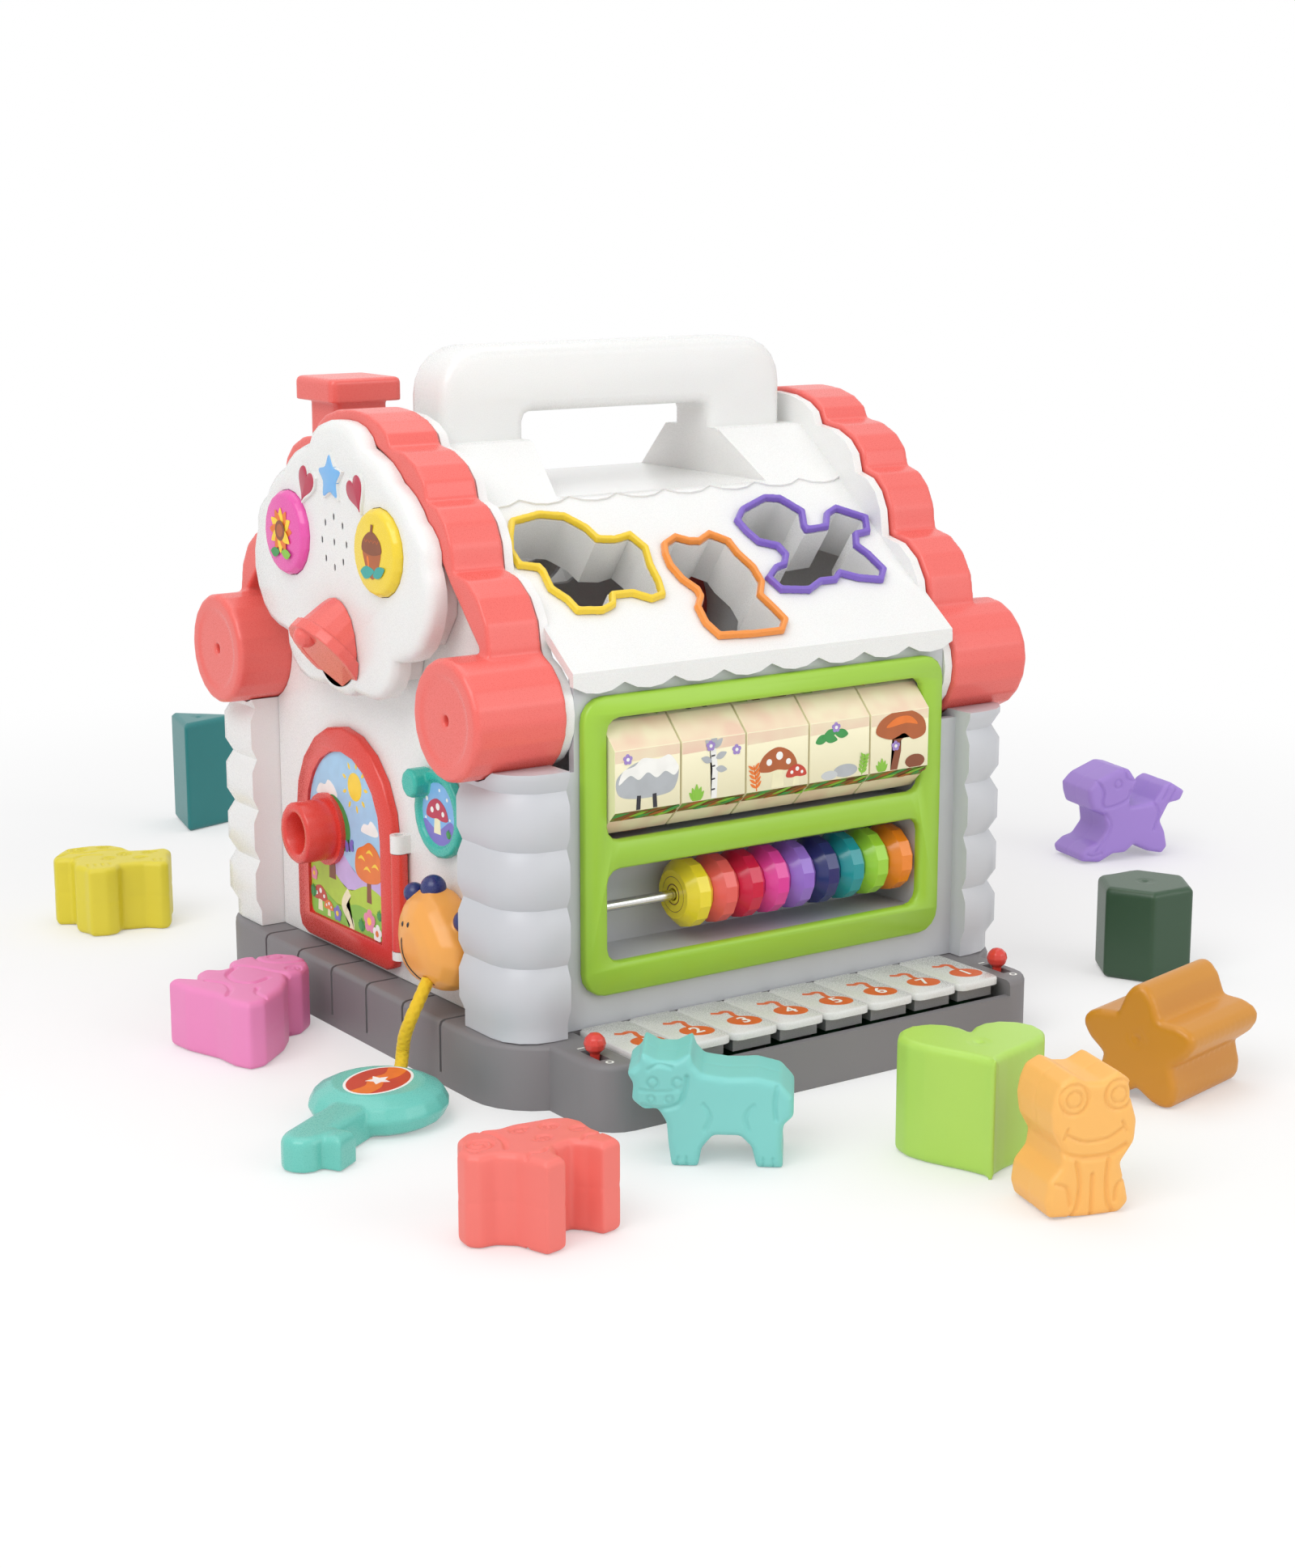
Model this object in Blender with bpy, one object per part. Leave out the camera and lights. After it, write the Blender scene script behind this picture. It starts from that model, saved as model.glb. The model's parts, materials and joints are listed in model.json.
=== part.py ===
"""Activity cube in the form of a toy house, with its shape blocks and toy key.

Metres, +Z up. The origin is the middle of the base on the floor. The piano side faces -Y and
the door side faces -X.
"""
import math

import bmesh
import bpy
from mathutils import Matrix, Vector
from mathutils.geometry import tessellate_polygon

# Clearances and walls shared by the whole toy
GAP = 0.0003
OVERRUN = 0.002
WALL = 0.0035
THIN_WALL = 0.002

# Base tray
BASE_HALF_X = 0.131
BASE_HALF_Y = 0.132
BASE_HEIGHT = 0.027
BASE_CORNER = 0.030
BASE_EDGE = 0.0025
BASE_FLOOR = 0.003
BASE_SKIRT = 0.003
APRON_HALF_X = 0.112
APRON_FRONT = 0.168
APRON_CORNER = 0.015
LIP_HEIGHT = 0.0205
LIP_WALL = 0.0035
WELL_HALF_X = 0.0955
WELL_FLOOR = 0.008
GROOVE_WIDTH = 0.0016
GROOVE_DEPTH = 0.0012
GROOVE_BOTTOM = 0.005
GROOVE_PITCH = 0.031
GROOVES_PER_SIDE_COUNT = 6

# Battery box in the base
HATCH_HALF_X = 0.029
HATCH_NEAR_Y = 0.030
HATCH_FAR_Y = 0.080
BOX_CEILING = 0.0195
WIRE_HALF_X = 0.004
WIRE_LOW = 0.010
WIRE_HIGH = 0.015

# House walls
HOUSE_HALF_X = 0.115
HOUSE_HALF_Y = 0.121
GABLE_HALF_Y = 0.0897
FRONT_HALF_X = 0.1027
FRONT_UPPER_HALF_X = 0.0939
FRONT_STEP_HEIGHT = 0.133

# Corner posts, stacked logs
POST_INNER_X = 0.102
POST_INNER_Y = 0.090
POST_OUTER_X = 0.1295
POST_OUTER_Y = 0.131
POST_CORNER = 0.018
POST_BULGE = 0.003
POST_TOP = 0.136
FOOT_HEIGHT = 0.007
LOG_HEIGHT = 0.0234
LOG_FULL_SHARES = (0.24, 0.76)

# Roof
RIDGE_HEIGHT = 0.252
RIDGE_HALF_Y = 0.018
EAVE_HEIGHT = 0.175
EAVE_OUTER_Y = 0.1243
ROOF_HALF_X = 0.0982
END_RIM_WIDTH = 0.004
END_RIM_FLANGE = 0.003
END_RIM_INSET = 0.002
END_RIM_INNER_Y = 0.095
VALANCE_FACE_Y = 0.1245
VALANCE_THICK = 0.0027
VALANCE_TOP = 0.171
VALANCE_CUSP = 0.1672
VALANCE_DROP = 0.0035
SCALLOP_COUNT = 8
CROWN_LAYER = 0.001
CROWN_LAYER_START = 0.0925
TUBE_DEPTH = 0.0215
RIM_WIDTH = 0.0033
RIM_LOW = 0.0003
RIM_HIGH = 0.003
RECESS_TOP_HALF_X = 0.0476
RECESS_FLOOR_HALF_X = 0.054
RECESS_FLOOR = 0.231

# Carry handle
HANDLE_HALF_X = 0.088
HANDLE_GRIP_HALF_X = 0.0476
HANDLE_HALF_Y = 0.014
HANDLE_TOP = 0.291
HANDLE_UNDER = 0.263
HANDLE_CORNER = 0.020
HANDLE_GRIP_CORNER = 0.004
HANDLE_EDGE = 0.005

# Roof arches with their rolled eaves
ARCH_STEPS = ((0.0, 0.267), (0.032, 0.254), (0.061, 0.235), (0.0805, 0.209), (0.107, 0.1805))
ARCH_WALL = 0.005
ARCH_BACK = 0.0985
ARCH_FRONT = 0.1235
ROLL_Y = 0.100
ROLL_Z = 0.155
ROLL_RADIUS = 0.0245
ROLL_FRONT = 0.140
ROLL_EDGE = 0.0015
ROLL_HOLE_RADIUS = 0.0022
ROLL_HOLE_DEPTH = 0.006
ROLL_STEP = 0.0006
ROLL_STEP_RADIUS = 0.018

# Chimney
CHIMNEY_X = -0.079
CHIMNEY_Y = 0.084
STACK_HALF = 0.013
STACK_CORNER = 0.003
CHIMNEY_CAP_HALF = 0.0178
CHIMNEY_CAP_LOW = 0.2636
CHIMNEY_TOP = 0.274
CHIMNEY_CAP_EDGE = 0.0022

# More of the base, its board and the keys' contact strip
BASE_ROUGHNESS = 0.5
CAVITY_FRONT_Y = -0.112
DECK_THICK = 0.003
BOARD_THICK = 0.0016
PAD_HALF = 0.005
PAD_TOP_HALF = 0.0035
PAD_HEIGHT = 0.0165
PAD_FRONT_Y = -0.156
PAD_BACK_Y = -0.144

# Piano keys
KEY_COUNT = 8
KEY_PITCH = 0.0235
KEY_CLEARANCE = 0.0007
KEY_AXIS_Y = -0.124
KEY_AXIS_Z = 0.025
KEY_BARREL = 0.002
KEY_LEDGE_MARGIN = 0.0003
WELL_BACK_Y = -0.1217
KEY_FRONT_Y = -0.164
KEY_TOP = 0.0285
KEY_PLATE_THICK = 0.003
KEY_CORNER = 0.004
KEY_EDGE = 0.0006
KEY_SET_BACK = 0.004
KEY_BLOCK_HALF = 0.0094
KEY_BLOCK_LOW = 0.020
KEY_BLOCK_REAR = 0.0035

# Slide switches
SLIDE_X = 0.1038
SLIDE_Y = -0.150
SLOT_HALF_WIDTH = 0.0023
SLOT_HALF_LENGTH = 0.007
SLOT_FLOOR = 0.019
SLIDE_BALL = 0.0045
SLIDE_BALL_Z = 0.0318
SLIDE_NECK_SHARE = 0.87

# Wells of the front wall and the green frame over them
BAY_HALF_X = 0.081
TROUGH_LOW = 0.1012
TROUGH_HIGH = 0.1556
TROUGH_DEPTH = 0.0425
BAY_LOW = 0.052
BAY_HIGH = 0.0935
BAY_DEPTH = 0.0275
FRAME_HALF_X = 0.0915
FRAME_LOW = 0.0405
FRAME_HIGH = 0.162
FRAME_CORNER = 0.010
FRAME_THICK = 0.0037
FRAME_EDGE = 0.001
WINDOW_HALF_X = 0.0805
WINDOW_CORNER = 0.006
WINDOW_1_LOW = 0.1036
WINDOW_1_HIGH = 0.1532
WINDOW_2_LOW = 0.0536
WINDOW_2_HIGH = 0.092

# Picture tiles and abacus
TILE_COUNT = 5
TILE_PITCH = 0.0322
TILE_CLEARANCE = 0.001
TILE_SIDE = 0.046
TILE_CHAMFER = 0.0106
AXLE_Y = -0.106
AXLE_Z = 0.1284
AXLE_RADIUS = 0.0025
ROD_Y = -0.110
ROD_Z = 0.0728
ROD_RADIUS = 0.0022
RING_OUTER = 0.0143
RING_WIDTH = 0.013
ABACUS_BORE_MARGIN = 0.0005
ABACUS_FACE_SHARE = 0.72
ABACUS_EDGE_SHARE = 0.42
ABACUS_SIDES = 14
RIM_COLOURS = ("f2cf2e", "f2953c", "8062c4")
RING_COLOURS = ("f2dd2c", "f06a63", "d91e48", "e948a5", "9b74d6", "2b3270", "1c9aa0", "a3d93b",
                "f58b1e")

# Cloud face plate, its buttons, lights and speaker
PLATE_DEPTH = 0.0171
PLATE_SKIN = 0.0025
PLATE_EDGE = 0.004
PLATE_HALF_Y = 0.077
PLATE_LOW = 0.1485
PLATE_TOP = 0.2628
PLATE_BOSS_MARGIN = 0.0012
PLATE_SHARES = ((0.0, 0.0), (0.104, 0.006), (0.162, 0.027), (0.247, 0.017), (0.351, 0.016),
                (0.468, 0.036), (0.558, 0.083), (0.604, 0.136), (0.614, 0.179), (0.714, 0.19),
                (0.812, 0.213), (0.896, 0.258), (0.961, 0.324), (0.997, 0.398), (0.995, 0.468),
                (0.969, 0.521), (0.948, 0.547), (0.947, 0.591), (0.917, 0.634), (0.861, 0.671),
                (0.813, 0.689), (0.777, 0.722), (0.701, 0.767), (0.623, 0.797), (0.582, 0.808),
                (0.539, 0.836), (0.461, 0.872), (0.364, 0.897), (0.288, 0.913), (0.252, 0.951),
                (0.182, 0.981), (0.091, 0.997), (0.0, 1.0))
PLATE_BOSS_SHARES = ((0.0, 0.044), (0.156, 0.044), (0.519, 0.101), (0.578, 0.223), (0.779, 0.249),
                     (0.903, 0.363), (0.916, 0.521))
BUTTON_Y = 0.0395
BUTTON_Z = 0.213
BUTTON_RADIUS = 0.018
BUTTON_RISE = 0.0042
BUTTON_DOME = 0.003
FLANGE_WIDTH = 0.0015
FLANGE_THICK = 0.0015
SPEAKER_Z = 0.213
SLOT_RING = 0.0105
SLOT_COUNT = 8
SPEAKER_SLOT_WIDTH = 0.0015
SPEAKER_SLOT_HEIGHT = 0.0034
SLOT_SHARES = ((-0.5, -0.25), (0, -0.5), (0.5, -0.25), (0.5, 0.25), (0, 0.5), (-0.5, 0.25))
LIGHT_THICK = 0.0014
STAR_Z = 0.2395
STAR_RADIUS = 0.011
STAR_WAIST_SHARE = 0.52
HEART_Y = 0.022
HEART_Z = 0.2345
HEART_WIDTH = 0.015
HEART_HEIGHT = 0.017
HEART_TILT = math.radians(-25)

# Bell on the face plate
BELL_RADIUS = 0.0185
BELL_LENGTH = 0.044
BELL_LIP = 0.003
BELL_LIP_HEIGHT = 0.005
BELL_LIP_SHARE = 0.137
BELL_RECESS = 0.003
BELL_ROWS = 8
BELL_TIP_OUT = 0.020
BELL_TIP_RISE = 0.0245
BELL_MIDDLE_OUT = 0.0062
BELL_MIDDLE_Z = 0.1645
BELL_PIVOT_OUT = 0.002
BELL_PIVOT_Z = 0.1975
BELL_KNOB = 0.0052
BELL_KNOB_REACH = 0.0135

# Door with its ring handle and hinge. U runs to the right of someone facing the door side.
DOOR_U = -0.0235
DOOR_HALF = 0.0435
DOOR_LOW = 0.030
DOOR_TOP = 0.1295
DOOR_CORNER = 0.008
DOOR_BACK = 0.0003
DOOR_THICK = 0.0042
DOOR_FRAME = 0.0105
DOOR_RECESS = 0.0014
DOOR_EDGE = 0.001
DOOR_SINK = 0.001
DOORWAY_INSET = 0.006
RING_U = -0.0387
RING_V = 0.082
RING_FLANGE = 0.016
RING_FLANGE_THICK = 0.0025
RING_RADIUS = 0.0135
RING_BORE = 0.009
RING_FRONT = 0.020
RING_BORE_FLOOR = 0.0045
HINGE_U = 0.025
HINGE_W = 0.004
HINGE_RADIUS = 0.0037
HINGE_PIN = 0.0016
HINGE_PIN_LENGTH = 0.0035
LUG_LOW = 0.042
LUG_HIGH = 0.084
KNUCKLE_LOW = 0.038
KNUCKLE_HIGH = 0.092

# Turning window
DIAL_U = 0.057
DIAL_V = 0.107
DIAL_RADIUS = 0.0185
DIAL_THICK = 0.0042
DIAL_RING = 0.005
DIAL_RECESS = 0.0015
DIAL_SHAFT = 0.004
DIAL_SHAFT_PROUD = 0.0015
DIAL_KNOB = 0.0062
DIAL_KNOB_U = 0.0128
DIAL_KNOB_V = 0.0112
DIAL_KNOB_FRONT = 0.010

# Animal head
HEAD_U = 0.0665
HEAD_V = 0.0575
HEAD_WIDTH = 0.0455
HEAD_HEIGHT = 0.0415
HEAD_DEPTH = 0.0225
HEAD_SHARES = ((0.50, 0.0), (0.72, 0.02), (0.90, 0.12), (1.0, 0.32), (0.97, 0.54), (0.84, 0.74),
               (0.68, 0.90), (0.50, 1.0), (0.30, 0.98), (0.14, 0.88), (0.04, 0.70), (0.0, 0.50),
               (0.03, 0.30), (0.12, 0.13), (0.28, 0.03))
HEAD_SECTION_SHARES = ((0.86, 0.0), (0.97, 0.14), (1.0, 0.36), (0.95, 0.60), (0.80, 0.80),
                       (0.55, 0.93), (0.28, 1.0))
HEAD_LOBE_SHARES = ((-0.08, 0.50, 0.42, 0.112), (-0.27, 0.42, 0.60, 0.09), (0.40, 0.27, 0.34, 0.10))

# Cord from the mouth to the toy key; the route's own points
CORD_RADIUS = 0.00275
CORD_BORE_MARGIN = 0.0006
CORD_STEPS = 3
CORD_ROUTE = ((-0.1330, -0.0720, 0.0430), (-0.1385, -0.0745, 0.0365), (-0.1430, -0.0757, 0.0300),
              (-0.1450, -0.0735, 0.0220), (-0.1455, -0.0722, 0.0150), (-0.1480, -0.0750, 0.0100),
              (-0.1530, -0.0800, 0.0080))

# Toy key on the floor
KEY_PLACE_X = -0.172
KEY_PLACE_Y = -0.100
KEY_TURN = math.radians(-148)
KEY_DISC = 0.028
KEY_DISC_THICK = 0.015
KEY_SOFT_SHARE = 0.35
KEY_LABEL = 0.019
KEY_LABEL_RISE = 0.0008
KEY_STEM_HALF = 0.0085
KEY_STEM_THICK = 0.0135
KEY_STEM_EDGE = 0.003
KEY_REACH = 0.066
KEY_BIT_X = 0.052
KEY_BIT_HALF = 0.006
KEY_BIT_REACH = 0.016

# Shape blocks: outline, width, height and thickness
BLOCK_CLEARANCE = 0.0008
BLOCK_EDGE = 0.0016
PARTING_DEPTH = 0.0006
HEART_BLOCK_STEPS = 28
FLOWER_PETAL_COUNT = 5
FLOWER_WAIST_SHARE = 0.62
FLOWER_POINTS = 6
ANIMAL_THICK = 0.030
DOG_SHARES = ((0.0, 0.11), (0.02, 0.03), (0.19, 0.0), (0.32, 0.08), (0.44, 0.08), (0.52, 0.16),
              (0.66, 0.07), (0.80, 0.03), (0.85, 0.10), (0.82, 0.27), (0.77, 0.39), (0.85, 0.57),
              (0.96, 0.59), (1.0, 0.69), (0.86, 0.80), (0.79, 0.76), (0.70, 0.60), (0.47, 0.58),
              (0.47, 0.68), (0.53, 0.84), (0.45, 0.98), (0.36, 1.0), (0.14, 0.89), (0.06, 0.79),
              (0.07, 0.69), (0.10, 0.58), (0.23, 0.51), (0.25, 0.35), (0.17, 0.22), (0.08, 0.19))
SHEEP_SHARES = ((0.13, 0.24), (0.20, 0.12), (0.22, 0.02), (0.37, 0.0), (0.46, 0.04), (0.51, 0.15),
                (0.71, 0.15), (0.83, 0.07), (0.90, 0.09), (0.93, 0.20), (0.95, 0.39), (1.0, 0.57),
                (0.96, 0.68), (0.84, 0.65), (0.67, 0.68), (0.63, 0.83), (0.53, 0.96), (0.36, 1.0),
                (0.14, 0.95), (0.06, 0.80), (0.0, 0.66), (0.0, 0.55), (0.13, 0.51), (0.15, 0.42))
FROG_SHARES = ((0.05, 0.02), (0.45, 0.0), (0.84, 0.0), (0.94, 0.07), (0.90, 0.19), (0.83, 0.35),
               (0.98, 0.49), (1.0, 0.64), (0.92, 0.81), (0.91, 0.93), (0.77, 1.0), (0.59, 0.94),
               (0.42, 0.95), (0.28, 1.0), (0.13, 0.95), (0.07, 0.86), (0.04, 0.75), (0.07, 0.61),
               (0.18, 0.48), (0.16, 0.37), (0.03, 0.27), (0.0, 0.12))
MONKEY_SHARES = ((0.08, 0.02), (0.30, 0.0), (0.60, 0.03), (0.82, 0.0), (0.98, 0.03), (1.0, 0.15),
                 (0.92, 0.29), (0.84, 0.43), (0.72, 0.56), (0.60, 0.64), (0.62, 0.76),
                 (0.54, 0.89), (0.40, 0.98), (0.25, 1.0), (0.11, 0.93), (0.08, 0.81), (0.0, 0.72),
                 (0.02, 0.58), (0.14, 0.52), (0.14, 0.42), (0.04, 0.36), (0.08, 0.26), (0.20, 0.18),
                 (0.06, 0.10))
RAM_SHARES = ((0.28, 0.0), (0.45, 0.0), (0.47, 0.15), (0.54, 0.25), (0.68, 0.26), (0.74, 0.14),
              (0.77, 0.0), (0.93, 0.0), (0.95, 0.14), (0.95, 0.36), (1.0, 0.55), (0.98, 0.70),
              (0.88, 0.80), (0.76, 0.84), (0.62, 0.90), (0.50, 0.90), (0.42, 0.96), (0.30, 1.0),
              (0.18, 0.94), (0.12, 0.82), (0.03, 0.72), (0.0, 0.58), (0.05, 0.48), (0.16, 0.44),
              (0.24, 0.32), (0.26, 0.14))
COW_SHARES = ((0.27, 0.0), (0.43, 0.0), (0.45, 0.16), (0.52, 0.28), (0.68, 0.28), (0.75, 0.18),
              (0.78, 0.0), (0.94, 0.0), (0.93, 0.20), (0.94, 0.38), (1.0, 0.46), (1.0, 0.62),
              (0.92, 0.75), (0.78, 0.80), (0.60, 0.79), (0.45, 0.82), (0.40, 0.90), (0.38, 1.0),
              (0.29, 0.93), (0.18, 0.93), (0.09, 1.0), (0.07, 0.90), (0.0, 0.82), (0.04, 0.72),
              (0.03, 0.58), (0.10, 0.50), (0.19, 0.50), (0.24, 0.38), (0.25, 0.20))
BLOCKS = {
    "triangle_block": ("triangle", 0.040, 0.040, 0.062),
    "hexagon_block": ("hexagon", 0.040, 0.040, 0.043),
    "flower_block": ("flower", 0.053, 0.053, 0.053),
    "heart_block": ("heart", 0.057, 0.050, 0.046),
    "sheep_block": (SHEEP_SHARES, 0.0574, 0.0514, 0.034),
    "monkey_block": (MONKEY_SHARES, 0.0577, 0.0633, 0.029),
    "ram_block": (RAM_SHARES, 0.054, 0.043, 0.034),
    "cow_block": (COW_SHARES, 0.062, 0.044, ANIMAL_THICK),
    "dog_block": (DOG_SHARES, 0.0646, 0.0511, ANIMAL_THICK),
    "frog_block": (FROG_SHARES, 0.0353, 0.053, ANIMAL_THICK),
}
# Openings: block, place across and place up the face
FRONT_SLOPE_OPENINGS = (("sheep_block", -0.0598, 0.0545), ("frog_block", -0.0034, 0.0337),
                        ("dog_block", 0.0560, 0.0536))
BACK_SLOPE_OPENINGS = (("cow_block", -0.056, 0.046), ("monkey_block", 0.016, 0.046))
REAR_OPENINGS = (("flower_block", -0.058, 0.130), ("ram_block", 0.004, 0.130),
                 ("hexagon_block", 0.062, 0.130), ("heart_block", -0.032, 0.070),
                 ("triangle_block", 0.034, 0.066))
# Colour, place and pose of each loose block
BLOCK_PLACES = {
    "triangle_block": ("1f8f8d", -0.0135, 0.3935, "lie", 16),
    "hexagon_block": ("2f5b45", 0.2187, -0.1228, "lie", -4),
    "flower_block": ("d1962b", 0.136, -0.241, "stand", -76),
    "heart_block": ("9bd657", -0.0088, -0.2654, "lie", -27),
    "sheep_block": ("d8c72f", -0.1393, 0.2253, "lie", -15),
    "monkey_block": ("ea7cc5", -0.1650, 0.0143, "lie", -76.7),
    "ram_block": ("f0796f", -0.1846, -0.2317, "lie", 10),
    "cow_block": ("63cbb9", -0.0786, -0.1933, "stand", -38),
    "dog_block": ("a98ad8", 0.370, 0.060, "stand", -12),
    "frog_block": ("f8b25c", -0.0066, -0.3042, "stand", -15),
}

# Other mesh counts and small shares
ARCH_STEP_POINTS = 4
SCALLOP_POINTS = 4
LOG_RELIEF_SHARE = 0.15
RIM_CROWN_SHARE = 0.8
GABLE_BITE_END = 125
END_RIM_MEET = 72

# Mesh counts and angles
CORNER_STEPS = 5
ROUND_STEPS = 20
SHARP_ANGLE = math.radians(38)

# Colours
WHITE = "f3f3f1"
PALE_GREY = "cfd1d5"
BASE_GREY = "77767a"
CORAL = "f0716a"
LEAF_GREEN = "8fca3f"
STEEL = "c8c8c8"
PLASTIC_ROUGHNESS = 0.38


def linear(code):
    """Colour code to the linear values that the shader takes."""
    values = [int(code[i:i + 2], 16) / 255 for i in (0, 2, 4)]
    return [v / 12.92 if v <= 0.04045 else ((v + 0.055) / 1.055) ** 2.4 for v in values]


def material(name, colour, roughness, metallic):
    made = bpy.data.materials.new(name)
    made.use_nodes = True
    shader = made.node_tree.nodes["Principled BSDF"]
    shader.inputs["Base Color"].default_value = (*linear(colour), 1)
    shader.inputs["Roughness"].default_value = roughness
    shader.inputs["Metallic"].default_value = metallic
    return made


def mesh_data(name, mesh):
    """Close a working mesh into mesh data, faces out. Round faces are smooth and ends flat."""
    bmesh.ops.recalc_face_normals(mesh, faces=mesh.faces[:])
    data = bpy.data.meshes.new(name)
    mesh.to_mesh(data)
    mesh.free()
    data.set_sharp_from_angle(angle=SHARP_ANGLE)
    return data


def place(name, mesh, colour, location=(0, 0, 0), rotation=(0, 0, 0),
          roughness=PLASTIC_ROUGHNESS, metallic=0):
    """One sub-part: its mesh, material and place."""
    data = mesh if isinstance(mesh, bpy.types.Mesh) else mesh_data(name, mesh)
    item = bpy.data.objects.new(name, data)
    bpy.context.scene.collection.objects.link(item)
    if not data.materials:
        data.materials.append(material(name, colour, roughness, metallic))
    item.location = location
    item.rotation_euler = rotation
    return item


def shape_with(target, mesh, operation, own_frame=True):
    """Cut a piece with a tool, or join the tool to it, in the piece's own frame or the world's."""
    count = len(target.modifiers)
    tool = bpy.data.objects.new(f"{target.name}_tool_{count}",
                                mesh_data(f"{target.name}_tool_{count}", mesh))
    bpy.context.scene.collection.objects.link(tool)
    if own_frame:
        tool.parent = target
    tool.hide_render = True
    tool.display_type = "WIRE"
    change = target.modifiers.new(f"{operation.lower()}_{count}", "BOOLEAN")
    change.operation = operation
    change.solver = "EXACT"
    change.object = tool


# Outlines


def turn_point(x, y, angle):
    return (x * math.cos(angle) - y * math.sin(angle), x * math.sin(angle) + y * math.cos(angle))


def arc(centre_x, centre_y, radius, start, end, steps):
    """Points along an arc, both ends included, angles in degrees."""
    points = []
    for i in range(steps + 1):
        angle = math.radians(start + (end - start) * i / steps)
        points.append((centre_x + radius * math.cos(angle), centre_y + radius * math.sin(angle)))
    return points


def circle(centre_x, centre_y, radius, count, start=0):
    return arc(centre_x, centre_y, radius, start, start + 360, count)[:-1]


def rounded_box(x0, x1, y0, y1, radius, steps=CORNER_STEPS):
    return (arc(x1 - radius, y0 + radius, radius, -90, 0, steps)
            + arc(x1 - radius, y1 - radius, radius, 0, 90, steps)
            + arc(x0 + radius, y1 - radius, radius, 90, 180, steps)
            + arc(x0 + radius, y0 + radius, radius, 180, 270, steps))


def box_outline(x0, x1, y0, y1):
    return [(x0, y0), (x1, y0), (x1, y1), (x0, y1)]


def mirrored(points):
    """The points given for the right half, followed by their mirror on the left half."""
    return list(points) + [(-x, y) for x, y in reversed(points) if x != 0]


def offset_path(points, distance, closed=True):
    """Move an outline to its right side by a distance, which is outward on a counterclockwise
    outline, with mitred corners."""
    count = len(points)
    moved = []
    for i, (x, y) in enumerate(points):
        before = points[i - 1] if closed or i > 0 else None
        after = points[(i + 1) % count] if closed or i < count - 1 else None
        normals = []
        for start, end in ((before, (x, y)), ((x, y), after)):
            if start is None or end is None:
                continue
            run = Vector((end[0] - start[0], end[1] - start[1]))
            normals.append(Vector((run.y, -run.x)).normalized())
        total = sum(normals, Vector((0, 0)))
        total.normalize()
        reach = max(total.dot(normals[0]), 0.5)
        moved.append((x + total.x * distance / reach, y + total.y * distance / reach))
    return moved


def scaled(shares, width, height, centre_x=0, centre_y=0):
    """Shares of a width and a height as points about a centre."""
    return [(centre_x + (x - 0.5) * width, centre_y + (y - 0.5) * height) for x, y in shares]


def lobes(corners, bulge, steps):
    """Join the corners of an open outline with arcs that bulge to its right side."""
    points = []
    for start, end in zip(corners, corners[1:]):
        run = Vector((end[0] - start[0], end[1] - start[1]))
        side = Vector((run.y, -run.x)).normalized()
        for i in range(steps):
            along = i / steps
            out = bulge * math.sin(math.pi * along) ** 0.7
            points.append((start[0] + run.x * along + side.x * out,
                           start[1] + run.y * along + side.y * out))
    points.append(corners[-1])
    return points


def height_on(path, x):
    """Height of an open path at a place across it."""
    for start, end in zip(path, path[1:]):
        low, high = sorted((start[0], end[0]))
        if low <= x <= high and high > low:
            along = (x - start[0]) / (end[0] - start[0])
            return start[1] + (end[1] - start[1]) * along
    return path[-1][1]


# Solids


def ring(mesh, points, level, frame):
    return [mesh.verts.new(frame @ Vector((x, y, level))) for x, y in points]


def band(mesh, lower, upper):
    count = len(lower)
    for i in range(count):
        after = (i + 1) % count
        mesh.faces.new((lower[i], lower[after], upper[after], upper[i])).smooth = True


def fill(mesh, rings, outlines):
    """Flat face through an outline and its holes."""
    if len(rings) == 1:
        mesh.faces.new(rings[0])
        return
    flat = [vertex for part in rings for vertex in part]
    polygons = [[Vector((x, y, 0)) for x, y in outline] for outline in outlines]
    for corners in tessellate_polygon(polygons):
        mesh.faces.new([flat[i] for i in corners])


def stack(mesh, sections, frame=Matrix()):
    """Closed body through outlines of equal count at rising levels."""
    rings = [ring(mesh, points, level, frame) for points, level in sections]
    for lower, upper in zip(rings, rings[1:]):
        band(mesh, lower, upper)
    mesh.faces.new(rings[0])
    mesh.faces.new(rings[-1])


def prism(mesh, outline, bottom, top, frame=Matrix(), holes=()):
    """Closed straight body on an outline with holes."""
    outlines = [outline, *holes]
    low = [ring(mesh, points, bottom, frame) for points in outlines]
    high = [ring(mesh, points, top, frame) for points in outlines]
    for lower, upper in zip(low, high):
        band(mesh, lower, upper)
    fill(mesh, low, outlines)
    fill(mesh, high, outlines)


def block(mesh, x0, x1, y0, y1, z0, z1):
    prism(mesh, box_outline(x0, x1, y0, y1), z0, z1)


def crowned(outline, bottom, top, edge, steps=2, both=False):
    """Sections of a body whose top edge, or both edges, are rounded."""
    rise = []
    for i in range(steps + 1):
        angle = math.pi / 2 * i / steps
        rise.append((edge * (1 - math.cos(angle)), edge * (1 - math.sin(angle))))
    sections = []
    if both:
        sections += [(offset_path(outline, -inset), bottom + drop) for inset, drop in rise[:0:-1]]
        sections.append((outline, bottom + edge))
    else:
        sections.append((outline, bottom))
    sections += [(offset_path(outline, -inset), top - drop) for inset, drop in rise]
    return sections


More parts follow.
